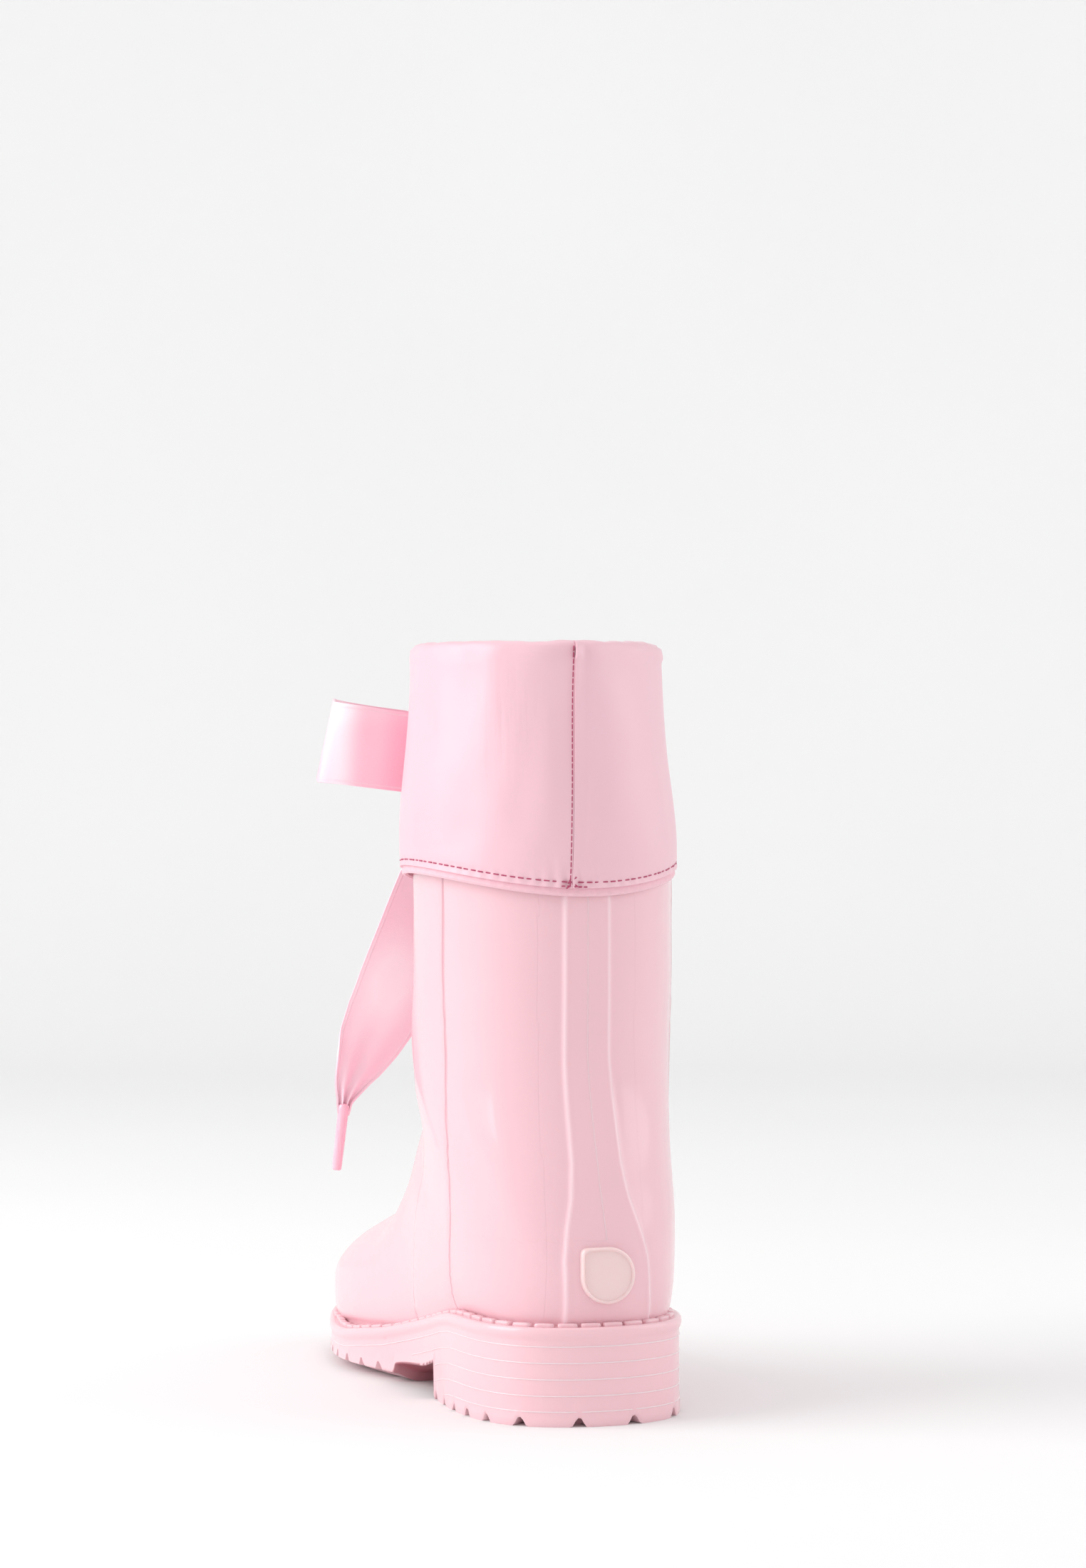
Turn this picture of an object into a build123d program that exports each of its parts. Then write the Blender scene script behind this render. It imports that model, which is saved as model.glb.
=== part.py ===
"""A child's pull-on rain boot, left foot, with a turned-down cuff and a satin ribbon bow.

Millimetres.  +Y runs from heel to toe, +X is the wearer's right (the inner side of this
left boot), +Z is up and the floor is z = 0.  The origin is the middle of the heel's tread
face on the floor.  Lengths along the foot are first given from the back of the heel
("station"), and fwd() turns a station into a Y of this frame.
"""
import math
import os

from build123d import *

# ---------------------------------------------------------------- driving sizes
# sole
SOLE_LENGTH = 205.0        # heel back to toe tip of the outsole
HEEL_WIDTH = 66.0          # outsole across the heel
WAIST_WIDTH = 60.0         # outsole across its narrow middle
BALL_WIDTH = 76.0          # outsole across the ball of the foot
HEEL_SEAT = 29.0           # floor to the top of the outsole wall, at the heel
TOE_WALL = 12.5            # floor to the top of the outsole wall, at the toe
HEEL_LENGTH = 68.0         # heel back to heel breast
HEEL_LIFT = 10.7           # floor to the waist's underside, at the heel breast
TREAD_DEPTH = 2.6          # height of the tread blocks
TREAD_GROOVE = 3.2         # width of a groove between two blocks
TREAD_PITCH = 9.0          # groove to groove
TREAD_START = 122.0        # station where the forefoot tread begins
TOE_SPRING = 3.0           # the toe tip is lifted this much off the floor
WELT_HEIGHT = 3.6          # thickness of the rim that runs round the top of the outsole
WELT_OVERHANG = 1.0        # how far that rim stands out from the outsole wall

# upper
WALL = 2.2                 # moulded wall of foot and shaft
SOCK = 1.2                 # knitted textile sock inside it
SHAFT_WIDTH = 76.8         # across the shaft below the cuff
SHAFT_DEPTH = 85.0         # front to back there
SHAFT_BACK = 12.6          # station of the back of the shaft
SHAFT_TAPER = 5.0          # the shaft is this much narrower, each side, under the rim
HEEL_BULGE = 65.6          # upper across the heel at its widest
FOOT_WIDTH = 69.0          # upper across the ball of the foot
HEEL_SET = 2.0             # the heel stands this far over to the inner side
BALL_SET = 2.0             # and the ball of the sole reaches this far over to the outer side
TOE_MARGIN = 4.0           # outsole beyond the upper, at heel and toe
TOE_HEIGHT = 51.0          # top of the foot where the toe box begins
SHELL_FLOOR_HEEL = 15.0    # underside of the upper inside the outsole, at the heel
SHELL_FLOOR_TOE = 6.0      # the same at the toe
ANKLE_HEIGHT = 130.0       # where the straight shaft ends and the ankle begins
STRIP_RELIEF = 0.8         # the strip up the back stands out this much
STRIP_WIDTH = 14.0         # its width at the top of the heel
STRIP_FOOT_WIDTH = 28.0    # its width at the bottom, where it flares

# footbed
FOOTBED = 4.0              # foam insole, at the heel
FOOTBED_GAP = 0.3          # all round it

# badge on the back of the heel
BADGE_DIAMETER = 17.0
BADGE_HEIGHT = 43.6        # its centre above the floor
BADGE_RELIEF = 1.5         # it stands this far out of the upper

# cuff
RIM_HEIGHT = 230.0         # floor to the fold at the top
CUFF_DROP = 66.5           # fold to hem, at the sides
CUFF_DIP = 7.5             # the hem hangs this much lower at the back and front seams
CUFF = 1.2                 # patent sheet
CUFF_TOP_WIDTH = 76.0      # across the boot just below the fold
CUFF_HEM_WIDTH = 84.4      # across the boot at the hem
CUFF_EXTRA_DEPTH = 8.2     # the cuff is this much deeper than wide
CUFF_INSIDE = 30.0         # how far the sheet is tucked down inside the shaft
CUFF_LINING = 0.8          # cloth behind the patent sheet
LINING_SHOW = 1.2          # lining below the hem
SEAM_GAP = 0.2             # between the two cuff panels
THREAD = 0.6               # sewing thread

# ribbon bow
RIBBON_WIDTH = 25.0
RIBBON = 0.6               # thickness of the doubled satin
BOW_HEIGHT = 196.0         # middle of the knot above the floor
KNOT_WIDTH = 13.0
KNOT_HEIGHT = 17.0
KNOT_DEPTH = 10.0
NECK = 6.5                 # radius of the gathered end of a loop, where it turns
TAIL_NECK = 3.6            # the same for a tail
LOOP_REACH = 58.0          # knot middle to the bend of a loop
LOOP_FULLNESS = 11.0       # gap between the two layers of a loop
TAIL_SPREAD = 48.0         # the aglet hangs this far to the side of the knot
TAIL_DROP = 109.0          # and this far below its middle
AGLET_LENGTH = 21.0
AGLET_DIAMETER = 3.4
EYELET_SPACING = 26.0
EYELET_BORE = 6.0
EYELET_BARREL = 7.2
EYELET_FLANGE = 11.0
EYELET_METAL = 0.5         # thickness of the flanges

CLEAR = 0.3                # general running clearance
TOUCH = 0.05               # air between two sewn or moulded layers

# ---------------------------------------------------------------- derived sizes
HEEL_MIDDLE = HEEL_LENGTH / 2                       # station of the frame's origin
TOE_TIP = SOLE_LENGTH - TOE_MARGIN                  # station of the upper's toe
TOE_BOX = 50.0                                      # length of the rounded toe box
SHAFT_MIDDLE = SHAFT_BACK + SHAFT_DEPTH / 2
SHAFT_TOP = RIM_HEIGHT - CUFF - 2.0
HEM_HEIGHT = RIM_HEIGHT - CUFF_DROP
WIDE = 80.0                                         # reaches past the boot's sides
CUFF_FAR = CUFF_HEM_WIDTH / 2 + CUFF_EXTRA_DEPTH    # reaches past the cuff, front and back
EYELET_REACH = 5.0                                  # rods through the cuff stop short of the sock
STRIP_NECK = ANKLE_HEIGHT - 59.0                    # where the back strip stops flaring
ANKLE_SPLIT = 10                                    # slice where the two lofts meet
FAN = (TOE_TIP - TOE_BOX, ANKLE_HEIGHT)             # the ankle's sections turn about this


def fwd(station):
    """Y of a place given by its distance from the back of the heel."""
    return station - HEEL_MIDDLE


# ---------------------------------------------------------------- the upper's shape
def oval(half_left, half_right, half_long, power_low, power_high, count=16):
    """Points of a closed oval, blunt or round by its powers, from its right side on."""
    points = []
    for i in range(count):
        turn = 2 * math.pi * i / count
        across, along = math.cos(turn), math.sin(turn)
        power = power_high if along >= 0 else power_low
        half = half_right if across >= 0 else half_left
        points.append((half * math.copysign(abs(across) ** (2 / power), across),
                       half_long * math.copysign(abs(along) ** (2 / power), along)))
    return points


def section(back, front, half_left, half_right, power_low, power_high, inset, aside=0.0):
    """One slice of the boot: its plane and outline, shrunk by inset, its middle set aside."""
    length = math.dist(back, front)
    run, rise = (front[0] - back[0]) / length, (front[1] - back[1]) / length
    middle = ((front[0] + back[0]) / 2, (front[1] + back[1]) / 2)
    plane = Plane(origin=(0, fwd(middle[0]), middle[1]), x_dir=(1, 0, 0), z_dir=(0, -rise, run))
    outline = oval(half_left + aside - inset, half_right - aside - inset, length / 2 - inset,
                   power_low, power_high)
    return plane, [(x + aside, along) for x, along in outline]


def on_ray(degrees, reach):
    """Station and height of a point on one of the ankle's rays."""
    turn = math.radians(degrees)
    return FAN[0] - reach * math.cos(turn), FAN[1] - reach * math.sin(turn)


def boot_sections(inset, top):
    """Slices down the shaft, round the ankle and along the foot, to the toe."""
    half, taper = SHAFT_WIDTH / 2, SHAFT_TAPER
    heel = HEEL_BULGE / 2
    slices = []
    levels = 6
    for level in range(levels):
        height = top + (ANKLE_HEIGHT - top) * level / levels
        narrow = taper * max(0.0, (height - HEM_HEIGHT) / CUFF_DROP) ** 0.85
        back = (SHAFT_BACK + narrow, height)
        front = (SHAFT_BACK + SHAFT_DEPTH - narrow, height)
        slices.append(section(back, front, half - narrow, half - narrow, 2.1, 2.1, inset))
    back, front = (SHAFT_BACK, ANKLE_HEIGHT), (SHAFT_BACK + SHAFT_DEPTH, ANKLE_HEIGHT)
    slices.append(section(back, front, half, half, 2.1, 2.1, inset))
    # the ankle: rays that turn from level to upright.  Each has its length to the heel or
    # sole, its length to the instep, its reach to the left and right, how blunt the oval is
    # below and above, and how much of the heel's set to the inner side it takes
    rays = ((12, FAN[0] - SHAFT_BACK + 3, 49.0, half - 0.3, half - 0.3, 2.1, 2.1, 0.1),
            (23, FAN[0] + 5.0, 47.5, half - 1.6, half - 1.8, 2.2, 2.1, 0.4),
            (31, FAN[0] + 20.0, 47.5, heel + 1.0, heel + 3.7, 2.4, 2.1, 0.8),
            (38, FAN[0] + 27.5, 49.0, heel - 0.6, heel + 3.0, 2.7, 2.1, 1.0),
            (47, (FAN[1] - SHELL_FLOOR_HEEL) / math.sin(math.radians(47)), 52.5,
             heel - 1.3, heel + 1.4, 3.0, 2.1, 0.9),
            (60, (FAN[1] - SHELL_FLOOR_HEEL + 4) / math.sin(math.radians(60)), 60.0,
             heel - 2.0, heel - 1.8, 3.2, 2.0, 0.5),
            (75, (FAN[1] - SHELL_FLOOR_TOE) / math.sin(math.radians(75)), 72.0,
             FOOT_WIDTH / 2 - 1.2, FOOT_WIDTH / 2 - 1.7, 3.4, 2.0, 0.15))
    for degrees, to_back, to_front, left, right, low, high, part in rays:
        slices.append(section(on_ray(degrees, to_back), on_ray(degrees, to_front),
                              left, right, low, high, inset, part * HEEL_SET))
    # the toe box: a dome, flat below and full above
    tip_height = 19.0
    for part in (0.0, 0.3, 0.58, 0.78, 0.91, 0.975):
        station = FAN[0] + (TOE_BOX - inset) * part
        wide = (1 - part ** 2.4) ** (1 / 2.4)
        tall = (1 - part ** 3) ** (1 / 3)
        roof = tip_height + (TOE_HEIGHT - inset - tip_height - 15 * part) * tall
        floor = tip_height - (tip_height - SHELL_FLOOR_TOE - inset - 2 * part) * tall
        halfs = (FOOT_WIDTH / 2 - inset) * wide
        plane, outline = section((station, floor), (station, roof), halfs, halfs, 3.2, 2.1, 0)
        slices.append((plane, outline))
    return slices


def boot_faces(inset, top):
    """Faces of the slices, in order."""
    slices = []
    for plane, outline in boot_sections(inset, top):
        with BuildSketch(plane) as slice_face:
            with BuildLine():
                Spline(*outline, periodic=True)
            make_face()
        slices.append(slice_face.sketch)
    return slices


def boot_block(inset, top=SHAFT_TOP):
    """The boot's outer shape, shrunk by inset, as a solid block."""
    slices = boot_faces(inset, top)
    with BuildPart() as block:
        loft(slices[:ANKLE_SPLIT + 1], ruled=True)
        loft(slices[ANKLE_SPLIT:], ruled=True)
    return block.part


def sole_block(inset, height):
    """The outsole's outline seen from above, shrunk by inset, as an upright block."""
    heel = HEEL_WIDTH / 2 - inset
    ball = BALL_WIDTH / 2 - inset
    waist = WAIST_WIDTH / 2 - inset
    length = SOLE_LENGTH
    tip = length - inset
    inner, outer = heel + HEEL_SET, ball + BALL_SET
    outline = ((HEEL_SET / 2, inset), (inner * 0.72, inset + heel * 0.27),
               (inner, inset + heel * 1.05),
               (waist * 0.96, 0.46 * length), (ball, 0.68 * length),
               (ball * 0.86, 0.85 * length), (ball * 0.5, tip - ball * 0.15), (0, tip),
               (-outer * 0.5, tip - ball * 0.19), (-outer * 0.86, 0.83 * length),
               (-outer, 0.66 * length), (-waist * 1.04, 0.44 * length),
               (-heel, inset + heel * 1.05), (-heel * 0.72, inset + heel * 0.27))
    with BuildPart() as block:
        with BuildSketch(Plane.XY):
            with BuildLine():
                Spline(*[(x, fwd(station)) for x, station in outline], periodic=True)
            make_face()
        extrude(amount=height)
    return block.part


def side_slab(outline):
    """A side-view outline of stations and heights, extruded right across the boot."""
    with BuildPart() as slab:
        with BuildSketch(Plane.YZ):
            Polygon(*[(fwd(station), height) for station, height in outline], align=None)
        extrude(amount=WIDE, both=True)
    return slab.part


def back_prism(outline, reach):
    """An outline seen from behind, pushed forward from behind the heel."""
    with BuildPart() as prism:
        with BuildSketch(Plane.XZ.offset(-fwd(reach))):
            Polygon(*outline, align=None)
        extrude(amount=WIDE)
    return prism.part


# ---------------------------------------------------------------- the cuff's shape
def cuff_width(drop):
    """Width of the cuff at a drop below its fold: a bell that opens downwards."""
    part = min(max(drop / CUFF_DROP, 0.0), 1.0)
    return CUFF_TOP_WIDTH + (CUFF_HEM_WIDTH - CUFF_TOP_WIDTH) * (1 - math.cos(math.pi * part)) / 2


def cuff_bell(inset):
    """The space inside the cuff's outer face, shrunk by inset, with its rounded fold."""
    fold = max(2.2 - inset, 0.6)
    top = RIM_HEIGHT - inset
    bottom = CUFF_DROP + CUFF_DIP + 6
    drops = [0.0, 0.07 * fold, 0.3 * fold, 0.6 * fold, fold]
    drops += [fold + (bottom - fold) * step / 9 for step in range(1, 10)]
    with BuildPart() as bell:
        for drop in drops:
            rise = max(fold - drop, 0.0)
            turn_in = fold - math.sqrt(max(fold ** 2 - rise ** 2, 0.0))
            half = cuff_width(drop) / 2 - inset - turn_in
            with BuildSketch(Plane((0, fwd(SHAFT_MIDDLE), top - drop))):
                Ellipse(half, half + CUFF_EXTRA_DEPTH / 2)
        loft(ruled=True)
    return bell.part


def hem_line(rise):
    """Side-view region above the hem, raised by rise: lowest at the two seams."""
    front, back = SHAFT_MIDDLE + CUFF_FAR, SHAFT_MIDDLE - CUFF_FAR
    with BuildPart() as region:
        with BuildSketch(Plane.YZ):
            with BuildLine():
                ThreePointArc((fwd(back), HEM_HEIGHT - CUFF_DIP + rise),
                              (fwd(SHAFT_MIDDLE), HEM_HEIGHT + rise),
                              (fwd(front), HEM_HEIGHT - CUFF_DIP + rise))
                Line((fwd(front), HEM_HEIGHT - CUFF_DIP + rise), (fwd(front), RIM_HEIGHT + 20))
                Line((fwd(front), RIM_HEIGHT + 20), (fwd(back), RIM_HEIGHT + 20))
                Line((fwd(back), RIM_HEIGHT + 20), (fwd(back), HEM_HEIGHT - CUFF_DIP + rise))
            make_face()
        extrude(amount=WIDE, both=True)
    return region.part


def cuff_layer(outer, inner):
    """A layer that follows the cuff, between two depths below its outer face."""
    return cuff_bell(outer) - cuff_bell(inner)


def eyelet_plane(side):
    """Plane on the cuff's front, square to it, where an eyelet is set."""
    half = cuff_width(RIM_HEIGHT - BOW_HEIGHT) / 2
    deep = half + CUFF_EXTRA_DEPTH / 2
    x = side * EYELET_SPACING / 2
    y = deep * math.sqrt(1 - (x / half) ** 2)
    return Plane(origin=(x, fwd(SHAFT_MIDDLE) + y, BOW_HEIGHT),
                 x_dir=(0, 0, 1), z_dir=(x / half ** 2, y / deep ** 2, 0))


def eyelet_rods(radius):
    """Rods of one radius along both eyelets' axes."""
    with BuildPart() as rods:
        for side in (-1, 1):
            with BuildSketch(eyelet_plane(side)):
                Circle(radius)
            extrude(amount=EYELET_REACH, both=True)
    return rods.part


def box_between(corner, opposite):
    """A box from one corner to the opposite one."""
    size = [abs(b - a) for a, b in zip(corner, opposite)]
    middle = [(a + b) / 2 for a, b in zip(corner, opposite)]
    return Pos(*middle) * Box(*size, mode=Mode.PRIVATE)


# ---------------------------------------------------------------- foot and shaft
envelope = boot_block(0)

with BuildPart() as upper_shell:
    strip = [(-STRIP_FOOT_WIDTH / 2, HEEL_SEAT + TOUCH), (-STRIP_FOOT_WIDTH / 2, HEEL_SEAT + 6),
             (-STRIP_FOOT_WIDTH / 2 + 1, BADGE_HEIGHT + 5), (-STRIP_WIDTH / 2 - 1, STRIP_NECK),
             (-STRIP_WIDTH / 2, ANKLE_HEIGHT), (-STRIP_WIDTH / 2, HEM_HEIGHT + 4)]
    strip += [(-x, z) for x, z in reversed(strip)]
    strip = [(x + HEEL_SET * min(1.0, max(0.0, (STRIP_NECK + 10 - z) / 30)), z) for x, z in strip]
    add(boot_block(-STRIP_RELIEF))
    add(back_prism(strip, SHAFT_BACK + 20), mode=Mode.INTERSECT)
    add(envelope)
    add(boot_block(WALL, SHAFT_TOP + 1), mode=Mode.SUBTRACT)
upper_shell.part.label = "upper_shell"

with BuildPart() as sock_lining:
    add(boot_block(WALL + TOUCH))
    add(boot_block(WALL + SOCK, SHAFT_TOP + 1), mode=Mode.SUBTRACT)
sock_lining.part.label = "sock_lining"

with BuildPart() as footbed:
    inset = WALL + SOCK + FOOTBED_GAP
    heel_top = SHELL_FLOOR_HEEL + inset + FOOTBED
    toe_top = SHELL_FLOOR_TOE + inset + FOOTBED - 1
    add(boot_block(inset))
    add(side_slab([(-10, -5), (SOLE_LENGTH, -5), (SOLE_LENGTH, toe_top + 4),
                   (TOE_TIP - 20, toe_top + 0.6), (FAN[0] - 28, toe_top), (HEEL_LENGTH, heel_top - 2),
                   (HEEL_MIDDLE, heel_top), (-10, heel_top + 1)]), mode=Mode.INTERSECT)
footbed.part.label = "footbed"

# ---------------------------------------------------------------- outsole
top_line = [(-10, HEEL_SEAT), (HEEL_LENGTH - 20, HEEL_SEAT), (HEEL_LENGTH + 15, HEEL_SEAT - 6.5),
            (TREAD_START + 14, TOE_WALL + 0.8), (TREAD_START + 30, TOE_WALL),
            (TOE_TIP - 26, TOE_WALL), (SOLE_LENGTH + 10, TOE_WALL + 5)]
bottom_line = [(SOLE_LENGTH + 10, TOE_SPRING + 2), (SOLE_LENGTH - 42, 0), (TREAD_START, 0),
               (TREAD_START, TREAD_DEPTH), (HEEL_LENGTH, HEEL_LIFT), (HEEL_LENGTH, 0), (-10, 0)]

with BuildPart() as outsole:
    add(sole_block(WELT_OVERHANG, HEEL_SEAT + 5))
    add(side_slab(top_line + bottom_line), mode=Mode.INTERSECT)
    rim_bottom = [(station, height - WELT_HEIGHT) for station, height in reversed(top_line)]
    rim = sole_block(0, HEEL_SEAT + 5) & side_slab(top_line + rim_bottom)
    add(rim)
    add(boot_block(-TOUCH), mode=Mode.SUBTRACT)
    grooves = [(2, HEEL_LENGTH - 6), (TREAD_START + 2, SOLE_LENGTH - 12)]
    for start, end in grooves:
        count = int((end - start) / TREAD_PITCH)
        for i in range(1, count + 1):
            station = start + i * TREAD_PITCH
            if abs(station - HEEL_MIDDLE) > TREAD_PITCH:
                add(box_between((-WIDE, fwd(station), -1),
                                (WIDE, fwd(station) + TREAD_GROOVE, TREAD_DEPTH)), mode=Mode.SUBTRACT)
outsole.part.label = "outsole"

with BuildPart() as heel_badge:
    add(boot_block(-BADGE_RELIEF))
    with BuildSketch(Plane.XZ.offset(-fwd(SHAFT_BACK + 8))):
        with Locations((HEEL_SET, BADGE_HEIGHT)):
            Circle(BADGE_DIAMETER / 2)
        with Locations((HEEL_SET - BADGE_DIAMETER / 4, BADGE_HEIGHT + BADGE_DIAMETER / 4)):
            Rectangle(BADGE_DIAMETER / 2, BADGE_DIAMETER / 2)
    extrude(amount=WIDE, mode=Mode.INTERSECT)
    add(boot_block(-STRIP_RELIEF - TOUCH), mode=Mode.SUBTRACT)
heel_badge.part.label = "heel_badge"

# ---------------------------------------------------------------- cuff
tuck_half = SHAFT_WIDTH / 2 - SHAFT_TAPER - WALL - SOCK - CLEAR

with BuildPart() as cuff_sheet:
    add(cuff_bell(0))
    add(cuff_bell(CUFF), mode=Mode.SUBTRACT)
    with BuildSketch(Plane((0, fwd(SHAFT_MIDDLE), RIM_HEIGHT - CUFF_INSIDE))):
        Ellipse(tuck_half, tuck_half + (SHAFT_DEPTH - SHAFT_WIDTH) / 2)
    extrude(amount=CUFF_INSIDE - CUFF / 2)
    with BuildSketch(Plane((0, fwd(SHAFT_MIDDLE), RIM_HEIGHT - CUFF_INSIDE - 5))):
        Ellipse(tuck_half - CUFF, tuck_half - CUFF + (SHAFT_DEPTH - SHAFT_WIDTH) / 2)
    extrude(amount=CUFF_INSIDE + 20, mode=Mode.SUBTRACT)
    add(hem_line(0), mode=Mode.INTERSECT)
    add(eyelet_rods(EYELET_BARREL / 2 + TOUCH), mode=Mode.SUBTRACT)

with BuildPart() as cuff_left_panel:
    add(cuff_sheet.part)
    split(bisect_by=Plane.YZ.offset(-SEAM_GAP / 2), keep=Keep.BOTTOM)
cuff_left_panel.part.label = "cuff_left_panel"

with BuildPart() as cuff_right_panel:
    add(cuff_sheet.part)
    split(bisect_by=Plane.YZ.offset(SEAM_GAP / 2), keep=Keep.TOP)
cuff_right_panel.part.label = "cuff_right_panel"

with BuildPart() as cuff_lining:
    add(cuff_layer(CUFF + TOUCH, CUFF + TOUCH + CUFF_LINING))
    add(hem_line(-LINING_SHOW), mode=Mode.INTERSECT)
    add(box_between((-WIDE, -WIDE, 0), (WIDE, WIDE, BOW_HEIGHT + EYELET_FLANGE)), mode=Mode.INTERSECT)
    add(eyelet_rods(EYELET_BARREL / 2 + TOUCH), mode=Mode.SUBTRACT)
cuff_lining.part.label = "cuff_lining"

on_cuff = cuff_layer(-THREAD, -TOUCH)
hem_half = CUFF_HEM_WIDTH / 2

with BuildPart() as hem_thread:
    with BuildSketch(Plane((0, fwd(SHAFT_MIDDLE), HEM_HEIGHT - 2 * CUFF_DIP))):
        Ellipse(hem_half + THREAD, hem_half + THREAD + CUFF_EXTRA_DEPTH / 2)
        Ellipse(hem_half + TOUCH, hem_half + TOUCH + CUFF_EXTRA_DEPTH / 2, mode=Mode.SUBTRACT)
    extrude(amount=4 * CUFF_DIP)
    add(hem_line(1.5), mode=Mode.INTERSECT)
    add(hem_line(1.5 + THREAD), mode=Mode.SUBTRACT)
hem_thread.part.label = "hem_thread"

seam_top = RIM_HEIGHT - 4
seams = ((-1, "back_seam_thread"), (1, "front_seam_thread"))
seam_threads = []
for side, title in seams:
    with BuildPart() as seam_thread:
        add(on_cuff)
        add(hem_line(1.5 + THREAD + TOUCH), mode=Mode.INTERSECT)
        middle = fwd(SHAFT_MIDDLE)
        add(box_between((-THREAD, middle, 0), (THREAD, middle + side * WIDE, seam_top)),
            mode=Mode.INTERSECT)
    seam_thread.part.label = title
    seam_threads.append(seam_thread.part)

# ---------------------------------------------------------------- eyelets
cuff_layers = CUFF + TOUCH + CUFF_LINING                    # what an eyelet clamps
behind_eyelet = cuff_layers + TOUCH + EYELET_METAL

with BuildPart() as eyelet_pair:
    flange = eyelet_rods(EYELET_FLANGE / 2)
    rear_flange = eyelet_rods((EYELET_FLANGE + EYELET_BARREL) / 4)
    add(cuff_layer(-TOUCH - EYELET_METAL, -TOUCH) & flange)
    add(cuff_layer(cuff_layers + TOUCH, behind_eyelet) & rear_flange)
    add(cuff_layer(-TOUCH - EYELET_METAL, behind_eyelet) & eyelet_rods(EYELET_BARREL / 2))
    add(eyelet_rods(EYELET_BORE / 2), mode=Mode.SUBTRACT)

eyelets = {}
for side, title in ((-1, "left_eyelet"), (1, "right_eyelet")):
    with BuildPart() as eyelet:
        add(eyelet_pair.part)
        add(box_between((0, -WIDE, 0), (side * WIDE, 2 * WIDE, RIM_HEIGHT)), mode=Mode.INTERSECT)
    eyelet.part.label = title
    eyelets[title] = eyelet.part

# ---------------------------------------------------------------- ribbon bow
front_of_cuff = cuff_width(RIM_HEIGHT - BOW_HEIGHT) / 2 + CUFF_EXTRA_DEPTH / 2
strap_outside = TOUCH + EYELET_METAL + CLEAR
strap_half = EYELET_BORE / 2 - CLEAR
knot_back = fwd(SHAFT_MIDDLE) + front_of_cuff + strap_outside + RIBBON + CLEAR
bow_y = knot_back + KNOT_DEPTH / 2

low, high = BOW_HEIGHT - 0.9 * strap_half, BOW_HEIGHT + 0.9 * strap_half
front = fwd(SHAFT_MIDDLE) + 10
span = EYELET_SPACING / 2 + 2
behind = behind_eyelet + TOUCH
outside = cuff_layer(-strap_outside - RIBBON, -strap_outside)
straps = [cuff_layer(behind, behind + RIBBON) & box_between((-span, front, low), (span, WIDE, high)),
          cuff_layer(-strap_outside - RIBBON / 2, behind + RIBBON / 2) & eyelet_rods(strap_half)]
for side in (-1, 1):
    straps.append(outside & box_between((side * (KNOT_WIDTH / 2 - 2), front, low),
                                        (side * span, WIDE, high)))
with BuildPart() as ribbon_threaded_run:
    for strap in straps:
        add(strap.solids())
ribbon_threaded_run.part.label = "ribbon_threaded_run"

with BuildPart() as ribbon_knot:
    with BuildSketch(Plane.XY.offset(BOW_HEIGHT - KNOT_HEIGHT / 2)):
        with Locations((0, bow_y)):
            Rectangle(KNOT_WIDTH, KNOT_DEPTH)
    extrude(amount=KNOT_HEIGHT)
    fillet(ribbon_knot.edges(), radius=min(KNOT_WIDTH, KNOT_DEPTH, KNOT_HEIGHT) * 0.24)
ribbon_knot.part.label = "ribbon_knot"


def loop_outline(side, shrink):
    """A loop seen from above: two layers that meet at the knot and turn at the far end."""
    fold = LOOP_FULLNESS / 2 + RIBBON - shrink
    root = KNOT_WIDTH / 2 + CLEAR + shrink
    tip = LOOP_REACH - shrink
    shape = ((0.0, 0.30), (0.3, 0.86), (0.62, 1.0), (0.88, 0.72))
    near = [(side * (root + part * (tip - root)), bow_y - fold * full) for part, full in shape]
    far = [(x, 2 * bow_y - y) for x, y in near]
    return near + [(side * tip, bow_y)] + far[::-1]


def loop_profile(side):
    """A loop seen from the front: a round neck at the knot that opens to the ribbon's width."""
    neck = KNOT_WIDTH / 2 + CLEAR + NECK
    half = RIBBON_WIDTH / 2
    with BuildPart() as profile:
        with BuildSketch(Plane.XZ.offset(-bow_y)):
            with Locations((side * neck, BOW_HEIGHT)):
                Circle(NECK)
            Polygon((side * neck, BOW_HEIGHT - NECK), (side * (neck + 13), BOW_HEIGHT - half),
                    (side * (LOOP_REACH + 2), BOW_HEIGHT - half),
                    (side * (LOOP_REACH - 2), BOW_HEIGHT + half),
                    (side * (neck + 13), BOW_HEIGHT + half), (side * neck, BOW_HEIGHT + NECK),
                    align=None)
        extrude(amount=LOOP_FULLNESS, both=True)
    return profile.part


def tail_outline(side):
    """A hanging tail seen from the front: a round neck, the ribbon, its gathered end."""
    edge = ((0.30, 0.18), (0.68, 0.33), (0.86, 0.55), (1.00, 0.76), (1.05, 0.90), (1.03, 0.99),
            (0.97, 0.995), (0.91, 0.955), (0.77, 0.905), (0.64, 0.83), (0.55, 0.755),
            (0.38, 0.60), (0.20, 0.41), (0.08, 0.24))
    return [(side * part * TAIL_SPREAD, BOW_HEIGHT - drop * TAIL_DROP) for part, drop in edge]


pieces = [upper_shell.part, sock_lining.part, footbed.part, outsole.part, heel_badge.part,
          cuff_left_panel.part, cuff_right_panel.part, cuff_lining.part, hem_thread.part]
pieces += seam_threads
pieces += list(eyelets.values())
pieces += [ribbon_threaded_run.part, ribbon_knot.part]

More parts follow.
